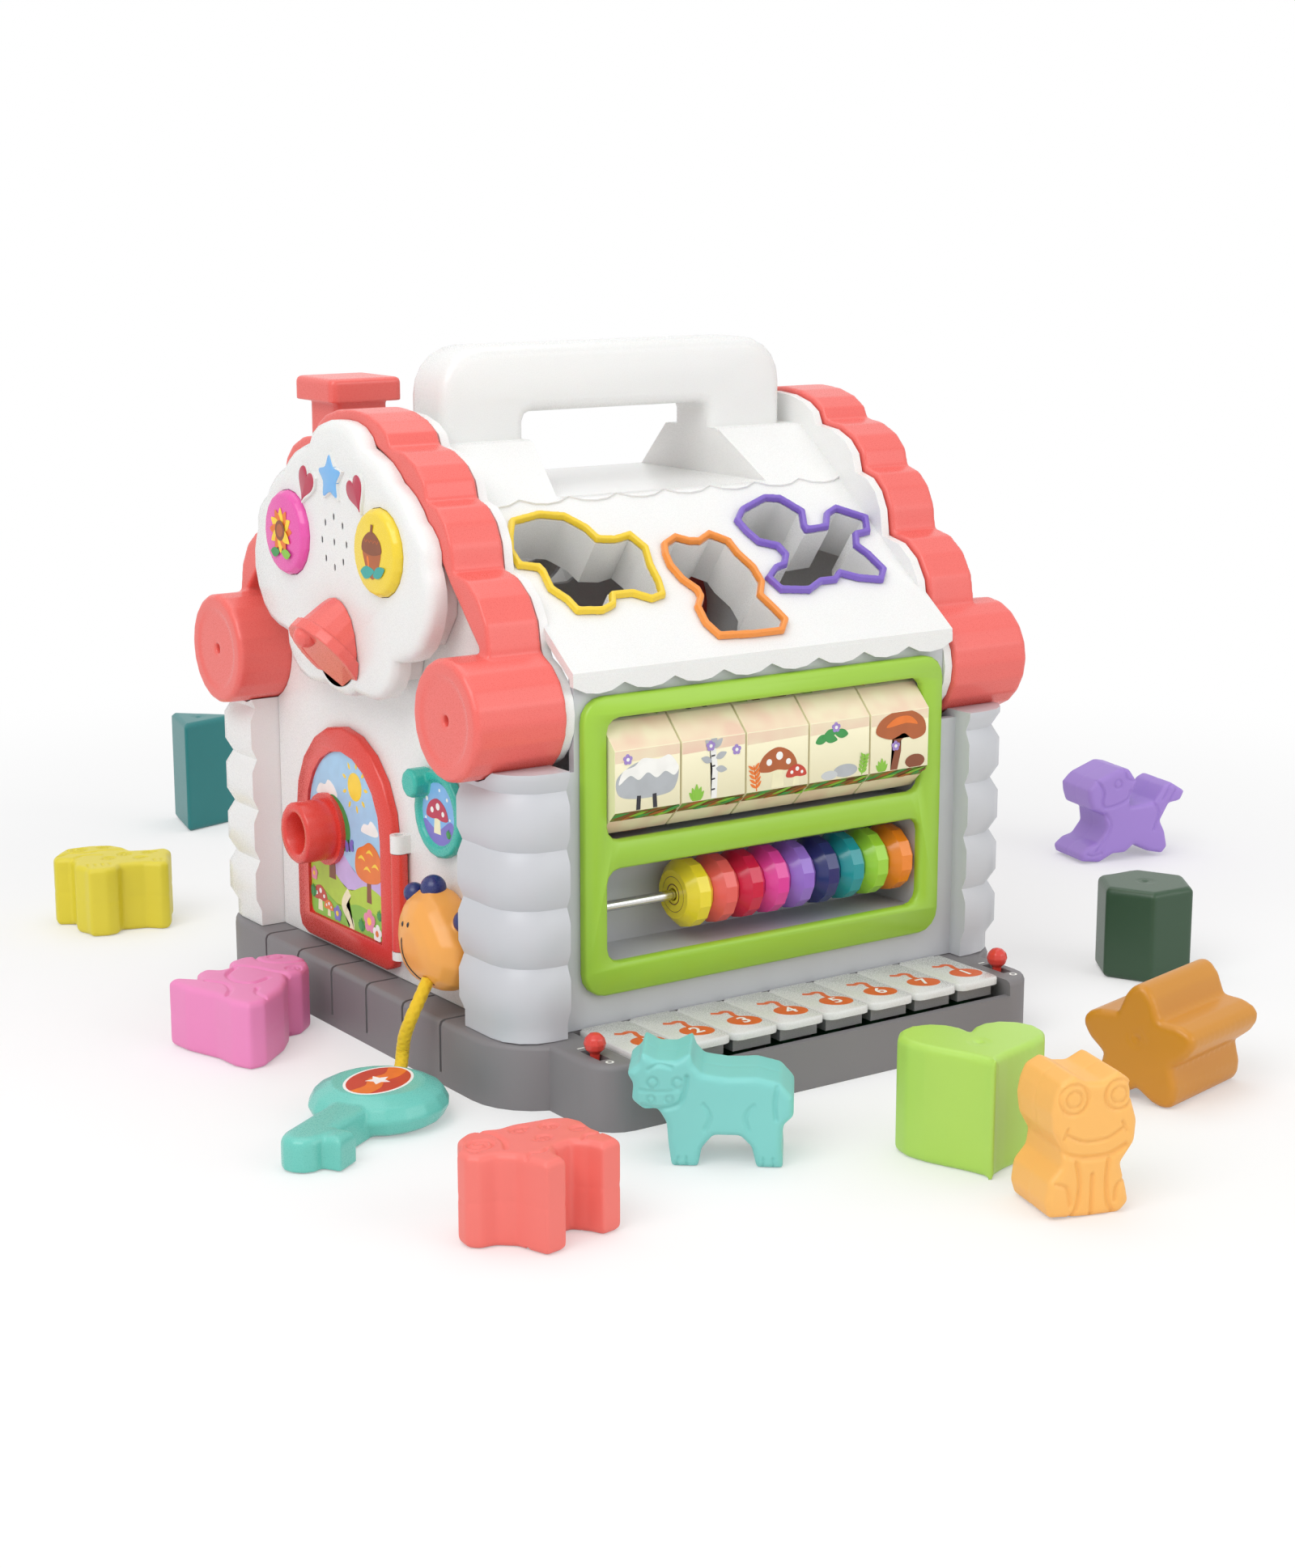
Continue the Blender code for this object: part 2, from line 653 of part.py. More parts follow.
def turned(mesh, profile, count, frame=Matrix(), closed=False):
    """Body of revolution about the frame's Z, from radius and height pairs."""
    rings = []
    for radius, height in profile:
        if radius == 0:
            rings.append([mesh.verts.new(frame @ Vector((0, 0, height)))])
        else:
            rings.append(ring(mesh, circle(0, 0, radius, count), height, frame))
    pairs = list(zip(rings, rings[1:]))
    if closed:
        pairs.append((rings[-1], rings[0]))
    for lower, upper in pairs:
        if len(lower) == 1 or len(upper) == 1:
            tip, side = (lower[0], upper) if len(lower) == 1 else (upper[0], lower)
            for i in range(len(side)):
                mesh.faces.new((tip, side[i], side[(i + 1) % len(side)])).smooth = True
        else:
            band(mesh, lower, upper)
    if not closed:
        for end in (rings[0], rings[-1]):
            if len(end) > 1:
                mesh.faces.new(end)


def ball(mesh, centre, radii, count=12, rows=6):
    frame = Matrix.Translation(centre) @ Matrix.Diagonal((*radii, 1))
    profile = [(0, -1)]
    for i in range(1, rows):
        angle = math.pi * i / rows
        profile.append((math.sin(angle), -math.cos(angle)))
    profile.append((0, 1))
    turned(mesh, profile, count, frame)


def panel(mesh, outline, wells, thickness, frame=Matrix()):
    """Wall with its outer face at level zero. Each well is an opening, its outer outline, its
    depth and its floor. No outer outline makes a plain hole, and no floor an open tube."""
    front = ring(mesh, outline, 0, frame)
    back = ring(mesh, outline, -thickness, frame)
    band(mesh, back, front)
    front_rings, front_shapes = [front], [outline]
    back_rings, back_shapes = [back], [outline]
    for opening, outer, depth, floor in wells:
        mouth = ring(mesh, opening, 0, frame)
        front_rings.append(mouth)
        front_shapes.append(opening)
        if outer is None:
            rear = ring(mesh, opening, -thickness, frame)
            band(mesh, rear, mouth)
            back_rings.append(rear)
            back_shapes.append(opening)
            continue
        inner_end = ring(mesh, opening, -depth, frame)
        band(mesh, inner_end, mouth)
        root = ring(mesh, outer, -thickness, frame)
        outer_end = ring(mesh, outer, -depth - floor, frame)
        band(mesh, root, outer_end)
        back_rings.append(root)
        back_shapes.append(outer)
        if floor:
            mesh.faces.new(inner_end)
            mesh.faces.new(outer_end)
        else:
            band(mesh, inner_end, outer_end)
    fill(mesh, front_rings, front_shapes)
    fill(mesh, back_rings, back_shapes)


# Faces of the house. On each, local X runs right, local Y runs up and local Z runs out.
FRONT_FACE = (math.pi / 2, 0, 0)
DOOR_FACE = (math.pi / 2, 0, -math.pi / 2)
REAR_FACE = (math.pi / 2, 0, math.pi)
FAR_FACE = (math.pi / 2, 0, math.pi / 2)
ALONG_X = Matrix.Rotation(math.pi / 2, 4, "Y")
ACROSS_X = Matrix(((0, 0, 1, 0), (1, 0, 0, 0), (0, 1, 0, 0), (0, 0, 0, 1)))
ROOF_ANGLE = math.atan2(RIDGE_HEIGHT - EAVE_HEIGHT, HOUSE_HALF_Y - RIDGE_HALF_Y)
ROOF_DROP = WALL / math.cos(ROOF_ANGLE)
WALL_FOOT = BASE_HEIGHT + GAP


def arch_chord():
    """Inner corners of the arch's steps, from the right eave over the top to the left one."""
    return mirrored(list(reversed(ARCH_STEPS)))


def arch_outer(inset=0.0):
    """Stepped outer line of the arch, each step a quarter of an ellipse."""
    right = []
    for (y0, z0), (y1, z1) in zip(ARCH_STEPS, ARCH_STEPS[1:]):
        for i in range(ARCH_STEP_POINTS):
            angle = math.pi / 2 * i / ARCH_STEP_POINTS
            right.append((y0 + (y1 - y0) * math.sin(angle), z0 - (z0 - z1) * (1 - math.cos(angle))))
    right.append(ARCH_STEPS[-1])
    return offset_path(mirrored(list(reversed(right))), -inset, closed=False)


def roof_line(depth):
    """Roof surface at a depth below its outer face: eave end, ridge edges and the other eave."""
    drop = depth / math.cos(ROOF_ANGLE)
    ridge_y = RIDGE_HALF_Y - depth * math.tan(ROOF_ANGLE / 2)
    return ridge_y, RIDGE_HEIGHT - depth, lambda y: (
        RIDGE_HEIGHT - (abs(y) - RIDGE_HALF_Y) * math.tan(ROOF_ANGLE) - drop)


# Base


def base_outline():
    """Rounded tray with the key apron in front."""
    corner_x = BASE_HALF_X - BASE_CORNER
    corner_y = BASE_HALF_Y - BASE_CORNER
    meet = math.degrees(math.acos((APRON_HALF_X - corner_x) / BASE_CORNER))
    apron_x = APRON_HALF_X - APRON_CORNER
    apron_y = APRON_FRONT - APRON_CORNER
    right = (arc(apron_x, -apron_y, APRON_CORNER, -90, 0, CORNER_STEPS)
             + arc(corner_x, -corner_y, BASE_CORNER, -meet, 0, CORNER_STEPS)
             + arc(corner_x, corner_y, BASE_CORNER, 0, 90, CORNER_STEPS))
    return mirrored(right)


def base_tray():
    mesh = bmesh.new()
    outline = base_outline()
    stack(mesh, crowned(outline, 0, BASE_HEIGHT, BASE_EDGE))
    tray = place("base_tray", mesh, BASE_GREY, roughness=BASE_ROUGHNESS)

    cuts = bmesh.new()
    top = BASE_HEIGHT + OVERRUN
    well_front = LIP_WALL - APRON_FRONT
    ledge_y = KEY_AXIS_Y - KEY_BARREL - KEY_LEDGE_MARGIN
    well = [(-APRON_FRONT - OVERRUN, LIP_HEIGHT), (well_front, LIP_HEIGHT), (well_front, WELL_FLOOR),
            (ledge_y, WELL_FLOOR), (ledge_y, KEY_AXIS_Z - KEY_BARREL - GAP),
            (WELL_BACK_Y, KEY_AXIS_Z - KEY_BARREL - GAP), (WELL_BACK_Y, top),
            (-APRON_FRONT - OVERRUN, top)]
    prism(cuts, well, -WELL_HALF_X, WELL_HALF_X, ACROSS_X)
    for side in (-1, 1):
        centre = side * SLIDE_X
        block(cuts, centre - SLOT_HALF_WIDTH, centre + SLOT_HALF_WIDTH, SLIDE_Y - SLOT_HALF_LENGTH,
              SLIDE_Y + SLOT_HALF_LENGTH, SLOT_FLOOR, top)
    faces = ((BASE_HALF_X, HOUSE_HALF_X, 0), (BASE_HALF_Y, HOUSE_HALF_Y, math.pi / 2),
             (BASE_HALF_X, HOUSE_HALF_X, math.pi))
    shelf = BASE_HEIGHT - GROOVE_DEPTH
    for reach, wall, angle in faces:
        inner = reach - GROOVE_DEPTH
        chamfer = reach - BASE_EDGE - GROOVE_DEPTH
        profile = [(reach + OVERRUN, GROOVE_BOTTOM), (reach + OVERRUN, top),
                   (wall + GAP, top), (wall + GAP, shelf), (chamfer, shelf),
                   (inner, shelf - BASE_EDGE), (inner, GROOVE_BOTTOM)]
        for i in range(GROOVES_PER_SIDE_COUNT):
            along = (i - (GROOVES_PER_SIDE_COUNT - 1) / 2) * GROOVE_PITCH
            turn = Matrix.Rotation(angle, 4, "Z") @ Matrix.Rotation(math.pi / 2, 4, "X")
            prism(cuts, profile, along - GROOVE_WIDTH / 2, along + GROOVE_WIDTH / 2, turn)
    inside = rounded_box(BASE_SKIRT - BASE_HALF_X, BASE_HALF_X - BASE_SKIRT, CAVITY_FRONT_Y,
                         BASE_HALF_Y - BASE_SKIRT, BASE_CORNER - BASE_SKIRT)
    around = box_outline(-HATCH_HALF_X - THIN_WALL, HATCH_HALF_X + THIN_WALL,
                         HATCH_NEAR_Y - THIN_WALL, HATCH_FAR_Y + THIN_WALL)
    prism(cuts, inside, BASE_FLOOR, BASE_HEIGHT - DECK_THICK, holes=[around])
    shape_with(tray, cuts, "DIFFERENCE")

    hatch = bmesh.new()
    block(hatch, -HATCH_HALF_X, HATCH_HALF_X, HATCH_NEAR_Y, HATCH_FAR_Y, -OVERRUN, BOX_CEILING)
    shape_with(tray, hatch, "DIFFERENCE")
    wire = bmesh.new()
    block(wire, -WIRE_HALF_X, WIRE_HALF_X, HATCH_NEAR_Y - THIN_WALL - OVERRUN,
          HATCH_NEAR_Y + OVERRUN, WIRE_LOW, WIRE_HIGH)
    shape_with(tray, wire, "DIFFERENCE")


def battery_cover():
    mesh = bmesh.new()
    block(mesh, GAP - HATCH_HALF_X, HATCH_HALF_X - GAP, HATCH_NEAR_Y + GAP, HATCH_FAR_Y - GAP,
          GAP, BASE_FLOOR - GAP)
    place("battery_cover", mesh, BASE_GREY, roughness=BASE_ROUGHNESS)


def contact_board():
    """Circuit strip under the keys, with a raised contact for each key."""
    mesh = bmesh.new()
    floor = WELL_FLOOR + GAP
    comb = [(GAP - WELL_HALF_X, floor), (WELL_HALF_X - GAP, floor),
            (WELL_HALF_X - GAP, floor + BOARD_THICK)]
    for i in reversed(range(KEY_COUNT)):
        x = key_x(i)
        comb += [(x + PAD_HALF, floor + BOARD_THICK), (x + PAD_TOP_HALF, PAD_HEIGHT),
                 (x - PAD_TOP_HALF, PAD_HEIGHT), (x - PAD_HALF, floor + BOARD_THICK)]
    comb.append((GAP - WELL_HALF_X, floor + BOARD_THICK))
    frame = Matrix.Rotation(math.pi / 2, 4, "X")
    prism(mesh, comb, -PAD_BACK_Y, -PAD_FRONT_Y, frame)
    place("contact_board", mesh, "3c5a46", roughness=0.5)


# Walls and posts


def wall_top():
    """Height of the front and rear walls under the roof."""
    return roof_line(WALL)[2](HOUSE_HALF_Y) - GAP


def long_wall_outline():
    top = wall_top()
    return [(-FRONT_HALF_X, WALL_FOOT), (FRONT_HALF_X, WALL_FOOT),
            (FRONT_HALF_X, FRONT_STEP_HEIGHT), (FRONT_UPPER_HALF_X, FRONT_STEP_HEIGHT),
            (FRONT_UPPER_HALF_X, top), (-FRONT_UPPER_HALF_X, top),
            (-FRONT_UPPER_HALF_X, FRONT_STEP_HEIGHT), (-FRONT_HALF_X, FRONT_STEP_HEIGHT)]


def add_posts(wall, side_y):
    """Join the two posts of one side to their wall and cut them out under the eave rolls."""
    posts = bmesh.new()
    rolls = bmesh.new()
    for side_x in (-1, 1):
        log_post(posts, side_x, side_y)
        frame = (Matrix.Translation((side_x * (ARCH_BACK + ROLL_FRONT) / 2, side_y * ROLL_Y,
                                     ROLL_Z)) @ ALONG_X)
        half = (ROLL_FRONT - ARCH_BACK) / 2 + OVERRUN
        radius = (ROLL_RADIUS + GAP) / math.cos(math.pi / ROUND_STEPS)
        prism(rolls, circle(0, 0, radius, ROUND_STEPS, 360 / ROUND_STEPS / 2), -half, half, frame)
    shape_with(wall, posts, "UNION", own_frame=False)
    shape_with(wall, rolls, "DIFFERENCE", own_frame=False)


def front_wall():
    """Front wall and its posts, with the trough of the picture tiles and the abacus bay."""
    mesh = bmesh.new()
    wells = []
    for low, high, depth in ((TROUGH_LOW, TROUGH_HIGH, TROUGH_DEPTH), (BAY_LOW, BAY_HIGH, BAY_DEPTH)):
        wells.append((box_outline(-BAY_HALF_X, BAY_HALF_X, low, high),
                      box_outline(-BAY_HALF_X - THIN_WALL, BAY_HALF_X + THIN_WALL,
                                  low - THIN_WALL, high + THIN_WALL), depth, THIN_WALL))
    panel(mesh, long_wall_outline(), wells, WALL)
    wall = place("front_wall", mesh, PALE_GREY, (0, -HOUSE_HALF_Y, 0), FRONT_FACE)
    add_posts(wall, -1)


def rear_wall():
    """Rear wall and its posts, with the openings of five shape blocks."""
    mesh = bmesh.new()
    wells = [(opening(name, x, z), None, 0, 0) for name, x, z in REAR_OPENINGS]
    panel(mesh, long_wall_outline(), wells, WALL)
    wall = place("rear_wall", mesh, PALE_GREY, (0, HOUSE_HALF_Y, 0), REAR_FACE)
    add_posts(wall, 1)


def gable_outline():
    """Wall between the posts, cut round the eave rolls and fitted under the arch."""
    radius = ROLL_RADIUS + GAP
    start = -90 - math.degrees(math.asin((ROLL_Y - GABLE_HALF_Y) / radius))
    right = [(GABLE_HALF_Y, WALL_FOOT)]
    right += arc(ROLL_Y, ROLL_Z, radius, start, GABLE_BITE_END - 360, CORNER_STEPS * 2)
    line = offset_path(arch_chord(), -ARCH_WALL - GAP, closed=False)
    edge = right[-1][0]
    right.append((edge, height_on(line, edge)))
    right += [point for point in line if 0 <= point[0] < edge]
    return mirrored(right)


def gable_wall(name, rotation, sign, wells):
    mesh = bmesh.new()
    panel(mesh, gable_outline(), wells, WALL)
    return place(name, mesh, WHITE, (sign * HOUSE_HALF_X, 0, 0), rotation)


def door_outline(inset):
    radius = DOOR_HALF - inset
    centre = DOOR_TOP - DOOR_HALF
    low = DOOR_LOW + inset
    corner = max(DOOR_CORNER - inset, GAP)
    left, right = DOOR_U - radius, DOOR_U + radius
    return (arc(right - corner, low + corner, corner, -90, 0, 2)
            + arc(DOOR_U, centre, radius, 0, 180, CORNER_STEPS * 2)
            + arc(left + corner, low + corner, corner, 180, 270, 2))


def gable_walls():
    """Door wall with its doorway, the window's bearing and the door's knuckles; plain far wall."""
    wells = [(door_outline(DOORWAY_INSET), None, 0, 0),
             (circle(DIAL_U, DIAL_V, DIAL_SHAFT + GAP, CORNER_STEPS * 2), None, 0, 0)]
    wall = gable_wall("gable_wall_door", DOOR_FACE, -1, wells)
    bearing = HINGE_PIN + GAP
    for low, high in ((KNUCKLE_LOW, LUG_LOW - GAP), (LUG_HIGH + GAP, KNUCKLE_HIGH)):
        mesh = bmesh.new()
        shape = arc(HINGE_U, HINGE_W, HINGE_RADIUS, -30, 210, CORNER_STEPS * 2)
        shape += [(shape[-1][0], -GAP * 2), (shape[0][0], -GAP * 2)]
        frame = Matrix(((1, 0, 0, 0), (0, 0, 1, 0), (0, 1, 0, 0), (0, 0, 0, 1)))
        prism(mesh, shape, low, high, frame,
              holes=[circle(HINGE_U, HINGE_W, bearing, CORNER_STEPS * 2)])
        shape_with(wall, mesh, "UNION")
    gable_wall("gable_wall_far", FAR_FACE, 1, [])


def log_post(mesh, side_x, side_y):
    """One post of stacked logs on a narrower foot."""
    base = WALL_FOOT + FOOT_HEIGHT
    levels = [(WALL_FOOT, POST_BULGE), (base, POST_BULGE)]
    relief = POST_BULGE * LOG_RELIEF_SHARE
    while base < POST_TOP:
        for share in LOG_FULL_SHARES:
            if base + LOG_HEIGHT * share < POST_TOP:
                levels.append((base + LOG_HEIGHT * share, relief))
        base += LOG_HEIGHT
        levels.append((min(base, POST_TOP), POST_BULGE if base <= POST_TOP else relief))
    sections = []
    for level, inset in levels:
        outer_x = POST_OUTER_X - inset
        outer_y = POST_OUTER_Y - inset
        outline = [(POST_INNER_X, POST_INNER_Y), (outer_x, POST_INNER_Y)]
        outline += arc(outer_x - POST_CORNER, outer_y - POST_CORNER, POST_CORNER, 0, 90, 4)
        outline.append((POST_INNER_X, outer_y))
        sections.append(([(x * side_x, y * side_y) for x, y in outline], level))
    stack(mesh, sections)


# Roof


def slope_frame(side):
    """Frame on a roof slope: X along the eave, Y up the slope, Z out of it."""
    turn = Matrix.Rotation(math.pi * (side > 0), 4, "Z")
    return (turn @ Matrix.Translation((0, -HOUSE_HALF_Y, EAVE_HEIGHT))
            @ Matrix.Rotation(ROOF_ANGLE, 4, "X"))


def end_rim_outline():
    """Raised end of the roof: follows the arch's steps and the rolls, open below."""
    radius = ROLL_RADIUS - END_RIM_INSET
    low = -90 - math.degrees(math.asin((ROLL_Y - END_RIM_INNER_Y) / radius))
    steps = arch_outer(END_RIM_INSET)
    outer = arc(ROLL_Y, ROLL_Z, radius, low, END_RIM_MEET, CORNER_STEPS * 2)
    outer += [point for point in steps if 0 <= point[0] < outer[-1][0]]
    depth = WALL + END_RIM_FLANGE
    ridge_y, ridge_z, height = roof_line(depth)
    inner = [(ridge_y, ridge_z), (END_RIM_INNER_Y, height(END_RIM_INNER_Y))]
    return mirrored(outer) + [(-y, z) for y, z in reversed(inner)] + inner


def roof_shell():
    mesh = bmesh.new()
    zero_y, zero_z, outside = roof_line(0)
    ridge_y, ridge_z, inside = roof_line(WALL)
    half = [(ridge_y, ridge_z), (EAVE_OUTER_Y, inside(EAVE_OUTER_Y)),
            (EAVE_OUTER_Y, outside(EAVE_OUTER_Y)), (zero_y, zero_z)]
    section = half + [(-y, z) for y, z in reversed(half)]
    reach = ROOF_HALF_X - END_RIM_WIDTH / 2
    prism(mesh, section, -reach, reach, ACROSS_X)
    roof = place("roof_shell", mesh, WHITE)

    ends = bmesh.new()
    for side in (-1, 1):
        levels = sorted((side * (ROOF_HALF_X - END_RIM_WIDTH), side * ROOF_HALF_X))
        prism(ends, end_rim_outline(), *levels, ACROSS_X)
    shape_with(roof, ends, "UNION")

    valance = bmesh.new()
    width = 2 * (ROOF_HALF_X - END_RIM_WIDTH / 2)
    corners = [(width * (i / SCALLOP_COUNT - 0.5), VALANCE_CUSP) for i in range(SCALLOP_COUNT + 1)]
    edge = lobes(corners, VALANCE_DROP, SCALLOP_POINTS)
    outline = edge + [(width / 2, VALANCE_TOP), (-width / 2, VALANCE_TOP)]
    for side in (-1, 1):
        frame = Matrix.Rotation(math.pi * (side > 0), 4, "Z") @ Matrix.Rotation(math.pi / 2, 4, "X")
        prism(valance, outline, VALANCE_FACE_Y - VALANCE_THICK, VALANCE_FACE_Y, frame)
    shape_with(roof, valance, "UNION")

    crown = bmesh.new()
    slope = (RIDGE_HEIGHT - EAVE_HEIGHT) / math.sin(ROOF_ANGLE)
    corners = [(x, CROWN_LAYER_START) for x, z in corners]
    outline = lobes(corners, VALANCE_DROP, SCALLOP_POINTS)
    outline += [(width / 2, slope - OVERRUN), (-width / 2, slope - OVERRUN)]
    for side in (-1, 1):
        prism(crown, outline, -CROWN_LAYER, CROWN_LAYER, slope_frame(side))
    shape_with(roof, crown, "UNION")

    tub = bmesh.new()
    skin_y, skin_z, skin = roof_line(CROWN_LAYER)
    low = RECESS_FLOOR - WALL
    low_y = RIDGE_HALF_Y + (skin(RIDGE_HALF_Y) - low) / math.tan(ROOF_ANGLE)
    half = [(low_y, low), (skin_y, skin_z)]
    reach = RECESS_FLOOR_HALF_X + WALL
    prism(tub, mirrored(half), -reach, reach, ACROSS_X)
    shape_with(roof, tub, "UNION")
    carry_handle(roof)

    tubes = bmesh.new()
    holes = bmesh.new()
    for side, places in ((-1, FRONT_SLOPE_OPENINGS), (1, BACK_SLOPE_OPENINGS)):
        for name, x, s in places:
            hole = opening(name, x, s)
            prism(tubes, offset_path(hole, THIN_WALL), -TUBE_DEPTH, -WALL / 2, slope_frame(side))
            prism(holes, hole, -TUBE_DEPTH - OVERRUN, OVERRUN, slope_frame(side))
    shape_with(roof, tubes, "UNION")
    shape_with(roof, holes, "DIFFERENCE")

    recess = bmesh.new()
    rise = RIDGE_HEIGHT + OVERRUN
    outline = [(-RECESS_FLOOR_HALF_X, RECESS_FLOOR), (RECESS_FLOOR_HALF_X, RECESS_FLOOR),
               (RECESS_TOP_HALF_X, rise), (-RECESS_TOP_HALF_X, rise)]
    prism(recess, outline, -HOUSE_HALF_Y, HOUSE_HALF_Y, Matrix.Rotation(math.pi / 2, 4, "X"))
    shape_with(roof, recess, "DIFFERENCE")


def roof_rims():
    """Coloured rims round the front slope's openings, a rounded bead in section."""
    frame = slope_frame(-1)
    for (name, x, s), colour in zip(FRONT_SLOPE_OPENINGS, RIM_COLOURS):
        mesh = bmesh.new()
        hole = opening(name, x, s)
        sections = ((hole, RIM_LOW), (offset_path(hole, RIM_WIDTH), RIM_LOW),
                    (offset_path(hole, RIM_WIDTH * RIM_CROWN_SHARE), RIM_HIGH),
                    (offset_path(hole, RIM_WIDTH * (1 - RIM_CROWN_SHARE)), RIM_HIGH))
        rings = [ring(mesh, points, level, frame) for points, level in sections]
        for lower, upper in zip(rings, rings[1:] + rings[:1]):
            band(mesh, lower, upper)
        place(name.replace("block", "rim"), mesh, colour)


def carry_handle(roof):
    """Grip on two legs, rounded all round, moulded with the ridge."""
    foot = RIDGE_HEIGHT - WALL / 2
    grip = HANDLE_GRIP_HALF_X
    right = arc(grip - HANDLE_GRIP_CORNER, HANDLE_UNDER - HANDLE_GRIP_CORNER, HANDLE_GRIP_CORNER,
                90, 0, CORNER_STEPS // 2)
    right += [(grip, foot), (HANDLE_HALF_X, foot)]
    right += arc(HANDLE_HALF_X - HANDLE_CORNER, HANDLE_TOP - HANDLE_CORNER, HANDLE_CORNER, 0, 90,
                 CORNER_STEPS)
    outline = right + [(-x, z) for x, z in reversed(right)]
    mesh = bmesh.new()
    sections = []
    for points, level in crowned(outline, -HANDLE_HALF_Y, HANDLE_HALF_Y, HANDLE_EDGE, 3, True):
        sections.append(([(x, foot if outline[i][1] == foot else z)
                          for i, (x, z) in enumerate(points)], level))
    stack(mesh, sections, Matrix.Rotation(math.pi / 2, 4, "X"))
    shape_with(roof, mesh, "UNION")


def roof_arches():
    """Stepped arch over each gable, with a rolled eave at each end."""
    back = ARCH_BACK + ROLL_EDGE / 2
    outer = arch_outer()
    inner = offset_path(arch_chord(), -ARCH_WALL, closed=False)
    tuck = (ARCH_STEPS[-1][0] - ROLL_EDGE, ROLL_Z + ROLL_EDGE)
    tuck_in = (ROLL_Y - ARCH_WALL, ROLL_Z + ROLL_EDGE)
    outline = ([tuck] + outer + [(-tuck[0], tuck[1]), (-tuck_in[0], tuck_in[1])]
               + list(reversed(inner)) + [tuck_in])
    length = ROLL_FRONT - ARCH_BACK
    profile = [(0, 0), (ROLL_RADIUS, 0), (ROLL_RADIUS, length - ROLL_EDGE),
               (ROLL_RADIUS - ROLL_EDGE, length), (ROLL_STEP_RADIUS, length),
               (ROLL_STEP_RADIUS - ROLL_STEP, length - ROLL_STEP),
               (ROLL_HOLE_RADIUS, length - ROLL_STEP), (ROLL_HOLE_RADIUS, length - ROLL_HOLE_DEPTH),
               (0, length - ROLL_HOLE_DEPTH)]
    for name, side_x in (("roof_arch_door", -1), ("roof_arch_far", 1)):
        mesh = bmesh.new()
        prism(mesh, outline, *sorted((side_x * back, side_x * ARCH_FRONT)), ACROSS_X)
        arch = place(name, mesh, CORAL)
        rolls = bmesh.new()
        for side_y in (-1, 1):
            frame = (Matrix.Translation((side_x * ARCH_BACK, side_y * ROLL_Y, ROLL_Z))
                     @ Matrix.Rotation(side_x * math.pi / 2, 4, "Y"))
            turned(rolls, profile, ROUND_STEPS, frame)
        shape_with(arch, rolls, "UNION")


def chimney():
    """Square stack with a wider cap, cut to the back slope."""
    mesh = bmesh.new()
    stack_box = rounded_box(CHIMNEY_X - STACK_HALF, CHIMNEY_X + STACK_HALF, CHIMNEY_Y - STACK_HALF,
                            CHIMNEY_Y + STACK_HALF, STACK_CORNER, 2)
    surface = roof_line(0)[2]
    lift = GAP / math.cos(ROOF_ANGLE)
    foot = [mesh.verts.new((x, y, surface(y) + lift)) for x, y in stack_box]
    neck = ring(mesh, stack_box, CHIMNEY_CAP_LOW, Matrix())
    cap_box = rounded_box(CHIMNEY_X - CHIMNEY_CAP_HALF, CHIMNEY_X + CHIMNEY_CAP_HALF,
                          CHIMNEY_Y - CHIMNEY_CAP_HALF, CHIMNEY_Y + CHIMNEY_CAP_HALF,
                          STACK_CORNER, 2)
    rings = [foot, neck]
    for points, level in crowned(cap_box, CHIMNEY_CAP_LOW, CHIMNEY_TOP, CHIMNEY_CAP_EDGE):
        rings.append(ring(mesh, points, level, Matrix()))
    for lower, upper in zip(rings, rings[1:]):
        band(mesh, lower, upper)
    mesh.faces.new(foot)
    mesh.faces.new(rings[-1])
    place("chimney", mesh, CORAL)


# Door side


def plate_shape(shares):
    """Right half of a plate outline from its shares, and its mirror on the left."""
    height = PLATE_TOP - PLATE_LOW
    return mirrored([(y * PLATE_HALF_Y, PLATE_LOW + z * height) for y, z in shares])


def boss_outline():
    """Outline of the plate's boss, which follows the inside of the arch above."""
    reach = -ARCH_WALL - PLATE_BOSS_MARGIN
    side = max(y for y, z in PLATE_BOSS_SHARES) * PLATE_HALF_Y
    line = offset_path(arch_chord(), reach, closed=False)
    lower = plate_shape(PLATE_BOSS_SHARES)
    half = len(lower) // 2 + 1
    return lower[:half] + [(y, z) for y, z in line if -side < y < side] + lower[half:]


def star(centre_x, centre_y, radius, count=5):
    points = []
    for i in range(count * 2):
        angle = math.pi / 2 + math.pi * i / count
        reach = radius if i % 2 == 0 else radius * STAR_WAIST_SHARE
        points.append((centre_x + reach * math.cos(angle), centre_y + reach * math.sin(angle)))
    return points


def heart(width, height, steps):
    """Heart about its middle, point down."""
    raw = []
    for i in range(steps):
        angle = -math.tau * i / steps
        raw.append((16 * math.sin(angle) ** 3,
                    13 * math.cos(angle) - 5 * math.cos(2 * angle) - 2 * math.cos(3 * angle)
                    - math.cos(4 * angle)))
    low = min(y for x, y in raw)
    high = max(y for x, y in raw)
    side = max(x for x, y in raw)
    return [(x / side * width / 2, ((y - low) / (high - low) - 0.5) * height) for x, y in raw]


